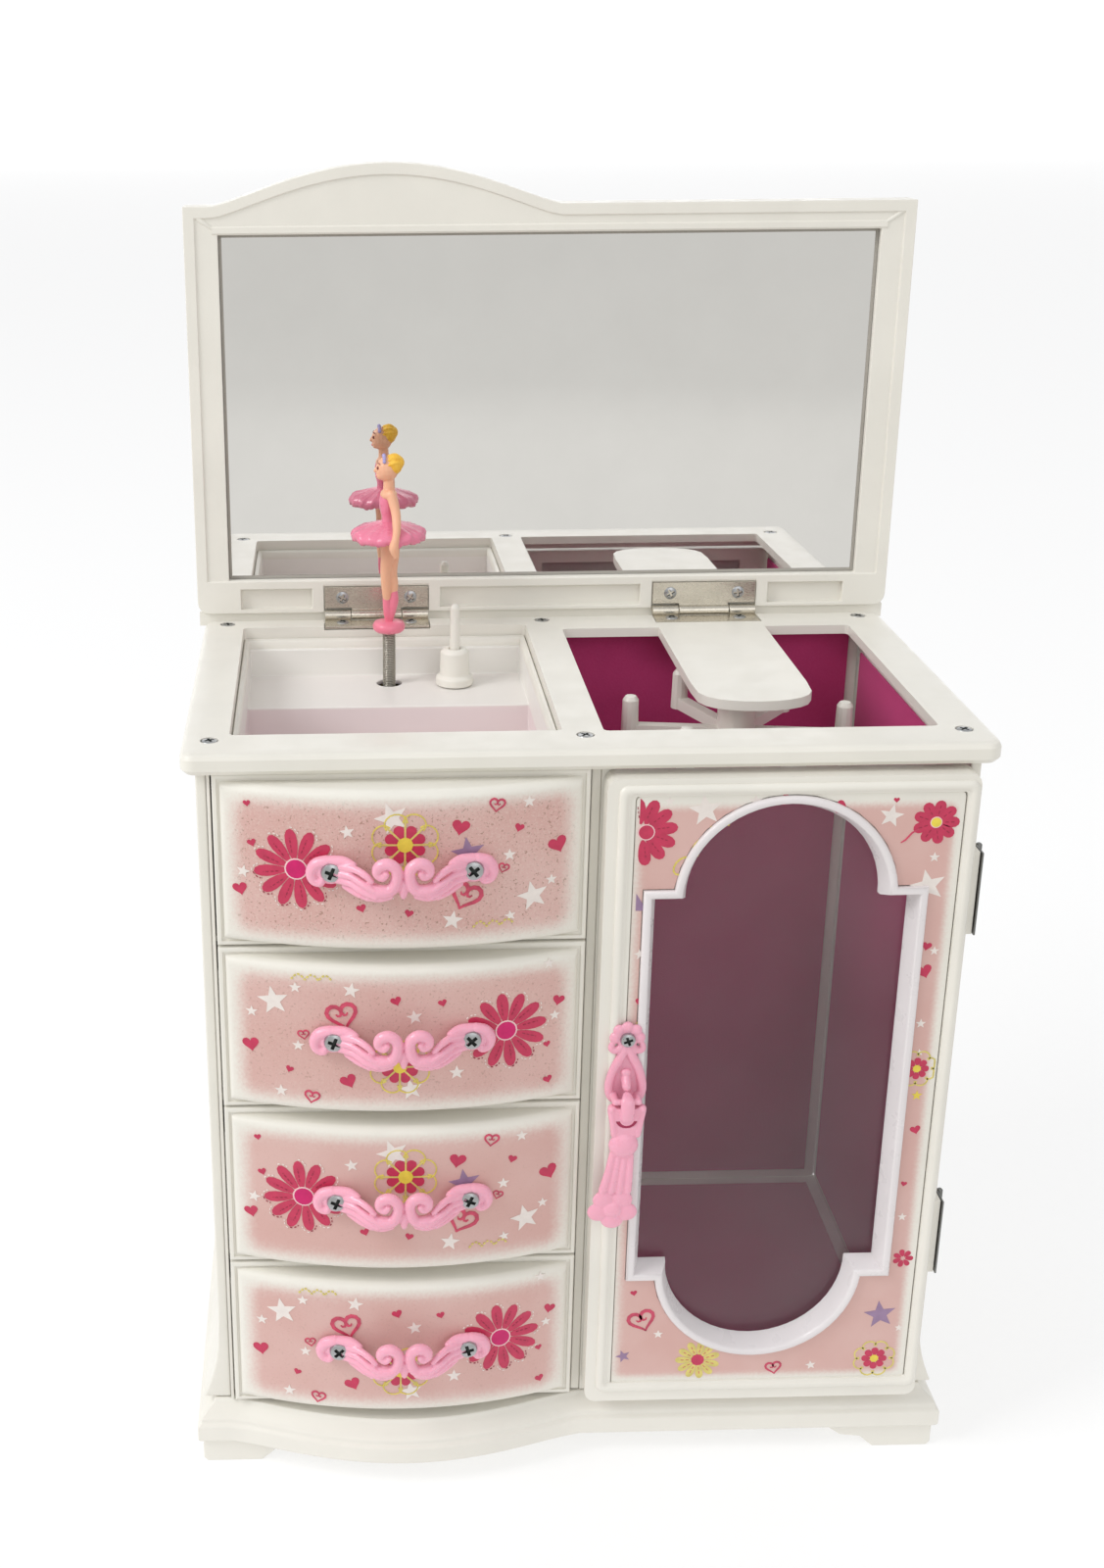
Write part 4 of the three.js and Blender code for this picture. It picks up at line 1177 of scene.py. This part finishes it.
def door_hinges():
    """Thin leaves on the flanks, with short knuckles on the door's axis."""
    for word, low in DOOR_HINGES:
        cabinet_leaf = Shape()
        cabinet_leaf.add(bar((104.0, 104.45), (6.9, 12.6), (low, low + 24)))
        knuckle = [(0, low + 17), (0.9, low + 17), (0.9, low + 23.6), (0.6, low + 24), (0, low + 24)]
        cabinet_leaf.add(turned(knuckle, (*DOOR_KNUCKLE, 0)))
        cabinet_leaf.add(bar((104.0, 104.9), (5.9, 7.1), (low + 17.2, low + 23.6)))
        door_leaf = Shape()
        door_leaf.add(bar((104.0, 104.45), (-1.2, 4.5), (low, low + 24)))
        pin = [(0, low), (0.5, low), (0.5, low + 16.6), (0, low + 16.6)]
        door_leaf.add(turned(pin, (*DOOR_KNUCKLE, 0)))
        door_leaf.add(bar((104.0, 105.1), (4.3, 5.5), (low + 0.4, low + 16.4)))
        for body, shape in (("cabinet", cabinet_leaf), ("door", door_leaf)):
            node = f"door_hinge_{word}_{body}_leaf"
            shown(node + "_detail", shape, DARK_STEEL, body, 40, [node])


def door_motifs():
    """The flowers, stars, hearts and strokes printed on the door's sheet."""
    front = SHEET["front"]
    on = Print(lambda u, v, lift: (u, front - lift * 0.6, v))
    left = SHEET["left"] + 1.0

    def right_of_edge(u, v):
        return max(u, left), v

    def in_margin(u, v):
        return min(max(u, 89.6), 97), v

    for i in range(12):
        angle = 8 + 30 * i
        if math.cos(math.radians(angle)) > -0.2:
            on.petal(13, 204, angle, 2.2, 9.6, 2.0, "crimson", 0.12 + 0.02 * (i % 2), right_of_edge)
            vein = [turned_point(13, 204, r, 0.3, angle) for r in (4.2, 5.8, 7.4)]
            on.dashes(vein, 0.2, "dark", 0.7, 0.5)
    on.disc(14.2, 204, 2.3, "pale")
    on.disc(14.2, 204, 2.0, "crimson", 0.3)

    for i in range(9):
        on.petal(90.5, 205.5, 40 * i, 1.2, 6.2, 1.75, "crimson", 0.12 + 0.02 * (i % 2))
        on.dashes([turned_point(90.5, 205.5, r, 0, 40 * i) for r in (2.4, 4.8)], 0.2, "dark")
    on.disc(90.5, 205.5, 1.6, "pale")
    on.disc(90.5, 205.5, 1.35, "gold", 0.3)
    on.stroke([(86.6, 204), (84.4, 202.6), (82.8, 200.6), (81.6, 199.8)], 0.5, "brush", taper=True)

    for star in (
        (29.5, 210.0, 4.6, 8), (78.5, 207.5, 3.4, -10), (42.5, 212.4, 1.8, 0), (20, 212.6, 1.4, 0),
        (91, 195.5, 1.5, 0), (14, 168.5, 1.7, 10), (93.6, 168, 1.4, 0), (92, 146, 1.5, 0),
        (92.5, 137, 1.2, 8), (14.5, 100, 1.4, 0), (92.5, 84, 1.4, 0), (24.5, 45.5, 1.5, 0),
        (95, 46, 1.3, 0), (70, 33.5, 1.6, 10), (90.0, 187.2, 5.0, 14),
    ):
        on.star(*star)
    on.violet_star(89, 50.8, 4.8, 8)
    on.violet_star(14.5, 38, 2.2, 20)
    on.patch([(12.3, 186.4), (12.3, 181.4), (15.4, 181.4)], (13.0, 182.6), "violet")
    for heart in (
        (50.5, 212.6, 3.2, 80), (65, 210.2, 3.8, 70), (14.6, 154.2, 2.6, -8), (91.4, 162, 4.4, 20),
        (91.4, 169.5, 2.8, -10), (93.6, 112.6, 3.0, 15), (92.0, 95.0, 1.8, -10), (16.8, 60, 2, 10),
        (79.5, 212, 1.6, 0),
    ):
        on.heart(*heart)
    for u, v, turn in ((29.0, 199.6, 52), (24.2, 194.2, 50), (33.4, 204.2, 20)):
        loop = []
        for k in range(8):
            t = 0.2 + 0.5 * k
            loop.append(turned_point(u, v, 2.9 * math.cos(t), 1.9 * math.sin(t), turn))
        on.stroke(loop, 0.5, "yellow", 0.14)
        on.dashes(loop, 0.22, "gold", 0.5, 0.4)
    for u, v, radius, clip in ((92.2, 132, 5.6, in_margin), (88.6, 35.4, 6.2, None)):
        for i in range(8):
            angle = 22 + 45 * i
            near, far, half = radius * 0.18, radius * 0.6, radius * 0.19
            on.petal(u, v, angle + 22, near, far, half, "crimson", 0.16, clip)
            loop = []
            for k in range(9):
                t = -1.8 + 0.45 * k
                along = radius * (0.70 + 0.30 * math.cos(t))
                loop.append(turned_point(u, v, along, radius * 0.33 * math.sin(t), angle))
            if clip:
                loop = [clip(*p) for p in loop]
            on.stroke(loop, 0.45, "yellow", 0.14)
        on.disc(u, v, radius * 0.2, "gold", 0.26)
    on.star(93, 123.5, 1.6, 0, "gold")
    for i in range(7):
        on.petal(94, 70, 51 * i, 0.6, 3.0, 0.9, "crimson")
    on.brush_heart(19.5, 50.5, 7.5, 20)
    on.brush_heart(59, 33.0, 4.5, 10)
    for i in range(11):
        angle = 16 + 360 * i / 11
        on.petal(36.5, 36.2, angle, 1.6, 6.6, 1.3, "yellow", 0.12 + 0.02 * (i % 2))
        on.dashes([turned_point(36.5, 36.2, r, 0, angle) for r in (2.6, 5.2)], 0.2, "brush")
    on.disc(36.5, 36.2, 1.9, "crimson", 0.28)
    on.stroke([(14, 147.5), (15.4, 149.2), (14.6, 150.8)], 0.6, "yellow")
    on.finish("door_motifs", "door", "printed_panel")


def door_pull():
    """Petalled screw rosette over a rimmed teardrop, and a tassel block, bulb, strands and flower."""
    x = PULL_X
    front = DOOR_FRONT - 0.3
    plate = Shape()
    for i in range(5):
        angle = math.radians(90 + (i - 2) * 44)
        petal = (x + 3.3 * math.cos(angle), front - 0.9, 144 + 3.3 * math.sin(angle))
        plate.add(ball(petal, (1.7, 1.1, 1.7), 12))
    plate.add(ball((x, front - 0.8, 144), (3.3, 1.2, 3.3)))
    rim = [
        (0.5, 141.2), (1.6, 138.4), (3.2, 135.2), (4.2, 132),
        (4.6, 129), (4.1, 126.4), (2.4, 124.8), (0, 124.2),
    ]
    for side in (-1, 1):
        curl = [(1.6, 141.4, 1.0), (3.2, 140.3, 1.05), (4.3, 141.0, 1.0), (4.1, 142.3, 0.8)]
        plate.add(tube([(x + side * u, front - 1, w, r) for u, w, r in curl], 10, 4))
        plate.add(tube([(x + side * u, front - 1.1, w, 1.25) for u, w in rim], 12, 5, 0.85))
        lug = [(x + side * 3.2, front - 0.4, 126.5, 1.1), (x + side * 3.2, -7.8, 126.5, 1.0)]
        plate.add(sweep(lug, 10, up=(0, 0, 1)))
    bowl = [(x + u, w) for u, w in rim] + [(x - u, w) for u, w in reversed(rim[:-1])]
    plate.add(loft([[(px, y, pz) for px, pz in bowl] for y in (front + 0.2, front - 0.7)]))
    plate.add(sweep([(x - 3.2, -7.8, 126.5, 0.9), (x + 3.2, -7.8, 126.5, 0.9)], 10, up=(0, 0, 1)))
    plate.add(ball((x, front - 1.4, 133.6), (1.5, 1.0, 1.2), 12))
    plate.add(sweep([(x, front - 0.6, 132.2, 1.9), (x, front - 2.6, 130.4, 1.9)], 12, 0.7, up=(1, 0, 0)))
    fused("pull_plate", plate, ROSE, "door", ["door_handle_plate"], 0.22, 2)
    put_screw("pull_screw", screw_mesh(2.1, 0.9), place(x, front - 2.2, 144), "door", (0, 0.3, 0))

    tassel = Shape()
    y = -7.9
    strap = [(0.6, 128.2, 1.3), (-1.0, 127.2, 1.9), (-1.5, 124.6, 1.95), (-1.2, 122.3, 1.8)]
    tassel.add(tube([(x, y + out, w, r) for out, w, r in strap], 14, 4, 0.55))
    block = [
        (-4.1, 116.2), (-4.0, 120), (-4.6, 123.4), (-4.9, 124.9), (-3.6, 125.6), (-2.6, 124.8),
        (2.6, 124.8), (3.6, 125.6), (4.9, 124.9), (4.6, 123.4), (4.0, 120), (3.6, 116.2),
    ]
    tassel.add(loft([[(x + u, depth, w) for u, w in block] for depth in (y - 0.9, y + 1.5)]))
    for side in (-1, 1):
        tassel.add(ball((x + side * 4.3, y, 124.6), (1.1, 1.5, 1.1), 12))
        edge = ((4.4, 0, 124), (3.7, 0.3, 120), (3.2, 0, 116.4))
        tassel.add(tube([(x + side * u, y - out, w, 1.0) for u, out, w in edge], 10, 4))
    tassel.add(ball((x - 0.6, y - 0.2, 113.2), (4.2, 2.0, 3.8)))
    for k in range(4):
        top = x - 0.9 - 2.4 + 1.6 * k
        foot = x - 2.4 - 3.4 + 2.3 * k
        halfway = top * 0.55 + foot * 0.45
        strand = [(top, y, 110.8, 1.0), (halfway, y - 0.2, 104.5, 1.15), (foot, y, 98.4, 1.25)]
        tassel.add(tube(strand, 10, 4, 0.8))
    middle = x - 2.9
    for k in range(5):
        angle = math.radians(54 + 72 * k)
        lobe = (middle + 4.0 * math.cos(angle), y, 92.6 + 3.5 * math.sin(angle))
        tassel.add(ball(lobe, (3.3, 1.1, 2.9), 14))
    tassel.add(ball((middle, y - 0.6, 92.6), (2.6, 1.1, 2.4), 14))
    slot = []
    for radius, start, end in ((3.1, 190, 350), (2.0, 345, 195)):
        for k in range(9):
            angle = math.radians(start + (end - start) * k / 8)
            slot.append((x + radius * math.cos(angle), 121.6 + radius * math.sin(angle)))
    hollow = Shape().add(loft([[(px, depth, pz) for px, pz in slot] for depth in (y - 4, y - 0.1)]))
    mesh = carved(melted(tassel, 0.22, 1), hollow)
    mesh.shade_smooth()
    mesh.materials.clear()
    piece("pull_tassel", mesh, [ROSE], "tassel", ["door_handle_tassel"])
    # a dark pink sheet at the bottom of the carved slot: painted shade
    floor = Shape().add(loft([[(px, depth, pz) for px, pz in slot] for depth in (y - 0.25, y + 0.3)]))
    piece("pull_slot_shade", mesh_of("pull_slot_shade", floor), [SLOT_SHADE], "tassel")


# ---------- dancer ----------
def from_spindle(u, v, *rest):
    """A point measured from the dancer's axis, with whatever follows it."""
    return (SPINDLE[0] + u, SPINDLE[1] + v, *rest)


def limb(sides, *points):
    """A tapered limb through (x, y, z, radius) points measured from the axis."""
    return tube([from_spindle(*point) for point in points], sides)


def lump(centre, radii, sides=16):
    """An ellipsoid whose centre is measured from the axis."""
    return ball(from_spindle(*centre), radii, sides)


def gathered(skins):
    """Skins as one shape."""
    shape = Shape()
    for skin in skins:
        shape.add(skin)
    return shape


def figure_part(name, material, skins, voxel=0.22, rounds=3):
    """Skins of the figure melted into one piece."""
    fused(name, gathered(skins), material, "dancer_figure", (), voxel, rounds)


def figure_detail(name, material, skins, angle=60, nodes=()):
    """Skins of the figure left as they are."""
    shown(name, gathered(skins), material, "dancer_figure", angle, nodes)


def tutu_skin(sides=96):
    """A disc of cloth whose rings ripple more towards the hem."""
    rings = []
    for radius, height, wave, phase in (
        (2.2, 262.9, 0.0, 0), (4.4, 262.2, 0.12, 0), (7.6, 261.2, 0.3, 0.1), (9.8, 260.5, 0.55, 0.2),
        (11.0, 259.7, 0.7, 0.25), (11.4, 258.7, 0.75, 0.3), (11.1, 257.6, 0.75, 0.35),
        (9.8, 257.2, 0.55, 0.3), (6.8, 257.8, 0.3, 0.1), (3.2, 258.4, 0.0, 0),
    ):
        ring = []
        for i in range(sides):
            angle = math.tau * i / sides
            ruffle = math.sin(11 * angle + phase) + 0.5 * math.sin(7 * angle + 1.3)
            crease = 0.35 * wave * math.sin(31 * angle + 2 * math.sin(3 * angle))
            reach = radius * (1 + 0.02 * wave * math.sin(17 * angle))
            rise = height + wave * 0.42 * ruffle + crease
            ring.append(from_spindle(reach * math.cos(angle), reach * math.sin(angle), rise))
        rings.append(ring)
    return loft(rings)


def dancer():
    """The figure on her base, from the legs up."""
    figure_part("dancer_legs", SKIN, [
        limb(14, (-0.6, -0.8, 259, 2.4), (-0.3, -0.8, 253, 2.2), (-0.9, -0.5, 247, 1.7),
             (-0.8, -0.3, 242, 1.45), (-0.6, 0, 237.4, 1.1)),
        limb(14, (0.9, 0.9, 259, 2.3), (1.3, 0.9, 253, 2.1), (0.9, 0.6, 247, 1.75),
             (1.5, 0.4, 242.5, 1.45), (1.2, 0.2, 238.6, 1.0)),
    ])
    figure_part("dancer_shoes", SHOE, [
        limb(12, (-0.7, 0, 239.2, 1.25), (-0.6, 0, 236.4, 1.3), (-0.4, 0, 233.8, 1.25),
             (-0.3, 0, 231.4, 0.9)),
        limb(12, (1.5, 0.3, 241.4, 1.2), (1.5, 0.2, 238.0, 1.5), (0.9, 0.1, 234.6, 1.3),
             (0.3, 0, 231.6, 0.9)),
    ])
    foot = [(0, 228.3), (4.1, 228.3), (4.9, 229.1), (5.0, 230.2), (4.5, 231.2), (2.4, 231.6), (0, 231.6)]
    figure_detail("dancer_base", SHOE, [turned(foot, from_spindle(0, 0, 0), 36)])
    figure_detail("dancer_tutu", DRESS, [tutu_skin()], 70, ["dancer"])

    waist = [(0, 0, 261.2, 2.5), (0, 0, 264, 2.1), (-0.2, 0, 267, 2.5), (-0.4, 0, 269.6, 2.4)]
    figure_part("dancer_bodice", DRESS, [
        tube([from_spindle(*point) for point in waist], 16, 6, 1.15),
        lump((-1.3, -1.1, 268.4), (1.5, 1.3, 1.4), 12),
        lump((-1.3, 1.1, 268.4), (1.5, 1.3, 1.4), 12),
        lump((0, 0, 261.4), (3.6, 3.2, 1.4)),
    ])
    skin = [
        lump((0.1, 0, 271.0), (2.6, 3.4, 1.9)),
        sweep([from_spindle(0.2, 0, 271, 1.8), from_spindle(0.1, 0, 275.2, 1.6)], 14),
        lump((-0.3, 0, 278.7), (3.5, 3.1, 3.8)),
        lump((-2.2, 0, 276.9), (1.5, 1.8, 1.5), 12),
        sweep([from_spindle(-3.5, 0, 279.0, 0.45), from_spindle(-3.95, 0, 278.2, 0.5)], 10),
    ]
    for side in (-1, 1):
        skin.append(limb(
            12, (0.7, side * 2.9, 271.4, 1.5), (2.0, side * 5.0, 266.6, 1.45),
            (2.2, side * 8.0, 262.6, 1.3), (1.8, side * 10.6, 259.8, 1.15),
            (1.2, side * 11.8, 257.4, 1.5), (1.8, side * 12.0, 255.0, 1.0),
        ))
    figure_part("dancer_skin", SKIN, skin, 0.2)

    eyes = []
    for side in (-1, 1):
        eyes.append(lump((-3.2, side * 1.5, 279.3), (0.35, 0.55, 0.5), 10))
        brow = ((-3.2, 0.9, 280.6, 0.14), (-3.0, 1.6, 280.85, 0.16), (-2.6, 2.2, 280.5, 0.12))
        eyes.append(sweep([from_spindle(u, side * v, w, r) for u, v, w, r in brow], 6))
    figure_detail("dancer_eyes", FEATURE, eyes)
    figure_detail("dancer_lips", SHOE, [lump((-3.6, 0, 276.7), (0.25, 0.8, 0.35), 10)])

    locks = [lump((1.7, 0, 280.0), (2.7, 3.0, 3.1)), lump((3.0, 0, 280.6), (1.9, 2.1, 2.0))]
    for k in range(6):
        c, s = math.cos(math.pi * (k + 0.5) / 6), math.sin(math.pi * (k + 0.5) / 6)
        locks.append(limb(
            8, (0.2, 2.7 * c, 279.6 + 2.9 * s, 0.45), (2.2, 2.6 * c, 280.2 + 2.7 * s, 0.5),
            (4.1, 1.1 * c, 280.4 + 1.3 * s, 0.45),
        ))
    figure_part("dancer_hair", HAIR, locks, 0.2, 1)

    beads = []
    for k in range(7):
        turn = math.pi * (k + 0.5) / 7
        centre = (-1.2, 2.5 * math.cos(turn), 281.0 + 1.7 * math.sin(turn))
        beads.append(lump(centre, (0.55, 0.5, 0.65), 8))
    beads.append(lump((-1.3, 0, 282.75), (0.6, 0.8, 0.6), 8))
    figure_detail("dancer_tiara", TIARA, beads)


def dancer_spring(turns=42, steps=12):
    """The wire coil under the figure."""
    path = []
    for i in range(turns * steps + 1):
        angle = math.tau * i / steps
        height = 205.2 + 22.6 * i / (turns * steps)
        path.append(from_spindle(1.78 * math.cos(angle), 1.78 * math.sin(angle), height, 0.25))
    mesh = smooth(mesh_of("dancer_coil", Shape().add(sweep(path, 8, up=(0, 0, 1)))), 80)
    spring = piece("dancer_coil", mesh, [SPRING_STEEL], None, ["dancer_spring"])
    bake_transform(spring)


# ---------- deck, cabinet and inside ----------
def card(name, material, body, x, y, z, edge=0.15, nodes=()):
    """A slab with eased edges."""
    mesh = evaluated(
        mesh_of(name, Shape().add(bar(x, y, z))),
        ("BEVEL", {"width": edge * MM, "segments": 2}),
    )
    piece(name, smooth(mesh, 50), [material], body, nodes)


def deck():
    """The deck with its tray, the tray's rim, and the screws at the edges."""
    under = Shape().add(bar((3.7, 100.3), (8, 117.4), (219, 223.6)))
    refined("top_deck", CREAM, 0.3, 3, under)
    left, right, near, far = TRAY_HOLE
    rim = []
    for inset, z in ((0.05, 219.9), (0.05, 222.4), (0.5, 223.0), (1.3, 222.9), (1.9, 222.2), (2.0, 219.9)):
        low, high = near + inset, far - inset
        corners = ((left + inset, low), (right - inset, low), (right - inset, high), (left + inset, high))
        rim.append([(x, y, z) for x, y in corners])
    edge = looped([[ring[i] for ring in rim] for i in range(4)])
    shown("tray_rim", Shape().add(edge), CREAM, "cabinet")
    screw = screw_mesh(2.2, 0.5)
    number = 0
    for x in (-100.1, -0.7, 100.1):
        for y in (11.7, 119.9):
            number += 1
            at = place(x, y, DECK_SCREW_Z)
            tip = (-math.pi / 2, 0, random.uniform(-0.7, 0.7))
            put_screw(f"deck_screw_head_{number}", screw, at, "cabinet", tip, [f"deck_screw_{number}"])
    refined("music_tray", TRAY, 0.4, 3)
    refined("stop_rod_guide", CREAM, 0.35, 3)
    refined("stop_rod", CREAM, 0.3, 2)
    refined("necklace_carousel", CREAM, 0.5, 3)


def cabinet():
    """Panels, shelves and boxes with eased edges, the felt-lined well and the musical movement."""
    for node, edge in (
        ("base_plinth", 0.35), ("left_side_panel", 0.6), ("right_side_panel", 0.6), ("back_panel", 0.6),
        ("centre_divider", 0.4), ("drawer_shelf_1", 0.3), ("drawer_shelf_2", 0.3), ("drawer_shelf_3", 0.3),
    ):
        refined(node, CREAM, edge, 3)
    for number in (2, 3, 4):
        refined(f"drawer_box_{number}", CREAM, 0.5, 2)
    refined("well_liner_floor", FELT, 0.15, 2)
    for side, x, y in (
        ("back", (7, 97), (117.1, 117.35)),
        ("left", (3.4, 4.0), (9.5, 113.6)),
        ("right", (100.0, 100.6), (9.5, 113.6)),
    ):
        high = 223.3 if side == "back" else 216
        card(f"felt_{side}", FELT, "cabinet", x, y, (24, high), 0.1, [f"well_liner_{side}"])
    card("left_stile", CREAM, "cabinet", (-100.85, -100.0), (4.3, 5.75), (20.4, 220.1))
    card("door_jamb", CREAM, "cabinet", (3.15, 6.6), (5.6, 9.2), (20.6, 220.1))
    for node, finish in (
        ("movement_bedplate", BRASS), ("tone_comb", STEEL), ("mainspring_drum", BRASS),
        ("winding_key", STEEL), ("pin_cylinder", BRASS), ("governor", BRASS), ("spindle", STEEL),
        ("carousel_pivot_pin", STEEL),
    ):
        refined(node, finish, 0.12, 2)
    flat_sheet("door_window_pane", GLASS)
    flat_sheet("lid_mirror", MIRROR_GLASS)


def fronts():
    """The four drawer fronts from the top down; the top one is fixed to the cabinet."""
    bodies = {1: "cabinet", 2: "drawer_2", 3: "drawer_3", 4: "drawer_4"}
    for number, body in bodies.items():
        low = LEVELS[4 - number] + 0.4
        high = LEVELS[5 - number] - 0.4
        node = "top_fascia" if number == 1 else f"drawer_front_{number}"
        drawer_front(f"drawer_panel_{number}", node, low, high, (0, 1.0, 0.55, 0.12, 0.2)[number])
        design = DESIGN_A if number in (1, 3) else DESIGN_B
        drawer_motifs(f"drawer_motifs_{number}", body, design, low, high)


# ---------- camera, floor and light ----------
def sheet_of(name, corners, material):
    """One flat sheet of the studio, which is not part of the object."""
    mesh = bpy.data.meshes.new(name)
    mesh.from_pydata(corners, [], [list(range(len(corners)))])
    mesh.materials.append(material)
    obj = bpy.data.objects.new(name, mesh)
    bpy.context.scene.collection.objects.link(obj)


def studio():
    """White paper that glows as painted light, white near the box and dimmer grey in front of it, a glowing
    white wall behind, and soft lamps.
    """
    reach = 14
    paper = Tree("studio_paper")
    along = paper.node("ShaderNodeSeparateXYZ", inputs={0: paper.position}).outputs[1]
    fibres = paper.span(paper.noise(240, 4), 0.3, 0.7, 0.98, 1.0)
    near = paper.maths("MULTIPLY", paper.span(along, -0.30, -0.095, 0, 1), fibres)
    paper.colour(paper.mixed(near, (0.30, 0.295, 0.28, 1), (0.42, 0.42, 0.42, 1)))
    # the floor's glow is painted light: emitted, white near the box and dimmer grey further in front
    glow = paper.mixed(near, (0.46, 0.455, 0.435, 1), (0.61, 0.61, 0.61, 1))
    paper.links.new(glow, paper.shader.inputs["Emission Color"])
    paper.set(Emission_Strength=1.0, Roughness=0.9, Specular_IOR_Level=0.0)
    square = ((-reach, -reach), (reach, -reach), (reach, reach), (-reach, reach))
    sheet_of("studio_floor", [(x, y, 0) for x, y in square], paper.material)

    wall = Tree("studio_wall")
    wall.colour(wall.ramp(wall.noise(3, 3), (0.3, (0.78, 0.78, 0.78)), (0.7, (0.8, 0.8, 0.8))))
    wall.set(Emission_Color=(1, 1, 1, 1), Emission_Strength=1.1, Roughness=0.9)
    upright = ((-reach, -1), (reach, -1), (reach, 2.2), (-reach, 2.2))
    sheet_of("studio_wall", [(x, 8, z) for x, z in upright], wall.material)

    world = bpy.data.worlds.new("studio_world")
    world.use_nodes = True
    world.node_tree.nodes["Background"].inputs["Color"].default_value = (0.985, 0.99, 1, 1)
    world.node_tree.nodes["Background"].inputs["Strength"].default_value = 0.72
    bpy.context.scene.world = world

    for name, location, size, power in (
        ("key", (-1.45, -0.55, 1.45), 0.8, 17),
        ("fill", (0.3, -1.7, 1.0), 1.2, 4.5),
    ):
        data = bpy.data.lights.new(name, "AREA")
        data.energy = power
        data.size = size
        lamp = bpy.data.objects.new(name, data)
        lamp.location = location
        lamp.rotation_euler = (Vector((0, 0, 0.2)) - Vector(location)).to_track_quat("-Z", "Y").to_euler()
        bpy.context.scene.collection.objects.link(lamp)


def camera():
    """The camera, placed for a frame of 1127 by 1600."""
    pitch, roll, yaw = math.radians(20.81), math.radians(0.50), math.radians(-1.14)
    spin = Matrix.Rotation(yaw, 3, "Z")
    right = spin @ Vector((1, 0, 0))
    ahead = spin @ Vector((0, math.cos(pitch), -math.sin(pitch)))
    down = spin @ Vector((0, -math.sin(pitch), -math.cos(pitch)))
    across = math.cos(roll) * right + math.sin(roll) * down
    below = -math.sin(roll) * right + math.cos(roll) * down
    data = bpy.data.cameras.new("camera")
    data.sensor_width = 36
    data.lens = 44.1
    data.shift_x = 0.1166
    data.shift_y = -0.0069
    data.clip_start = 0.01
    data.clip_end = 50
    eye = bpy.data.objects.new("camera", data)
    turn = Matrix((across, -below, -ahead)).transposed()
    eye.matrix_world = Matrix.Translation((-0.0675, -0.5267, 0.3978)) @ turn.to_4x4()
    bpy.context.scene.collection.objects.link(eye)
    bpy.context.scene.camera = eye
    bpy.context.scene.view_settings.view_transform = "Standard"


random.seed(7)
camera()
studio()
cabinet()
deck()
fronts()
handles()
lid()
lid_hinges()
door()
door_hinges()
door_motifs()
door_pull()
dancer()
dancer_spring()
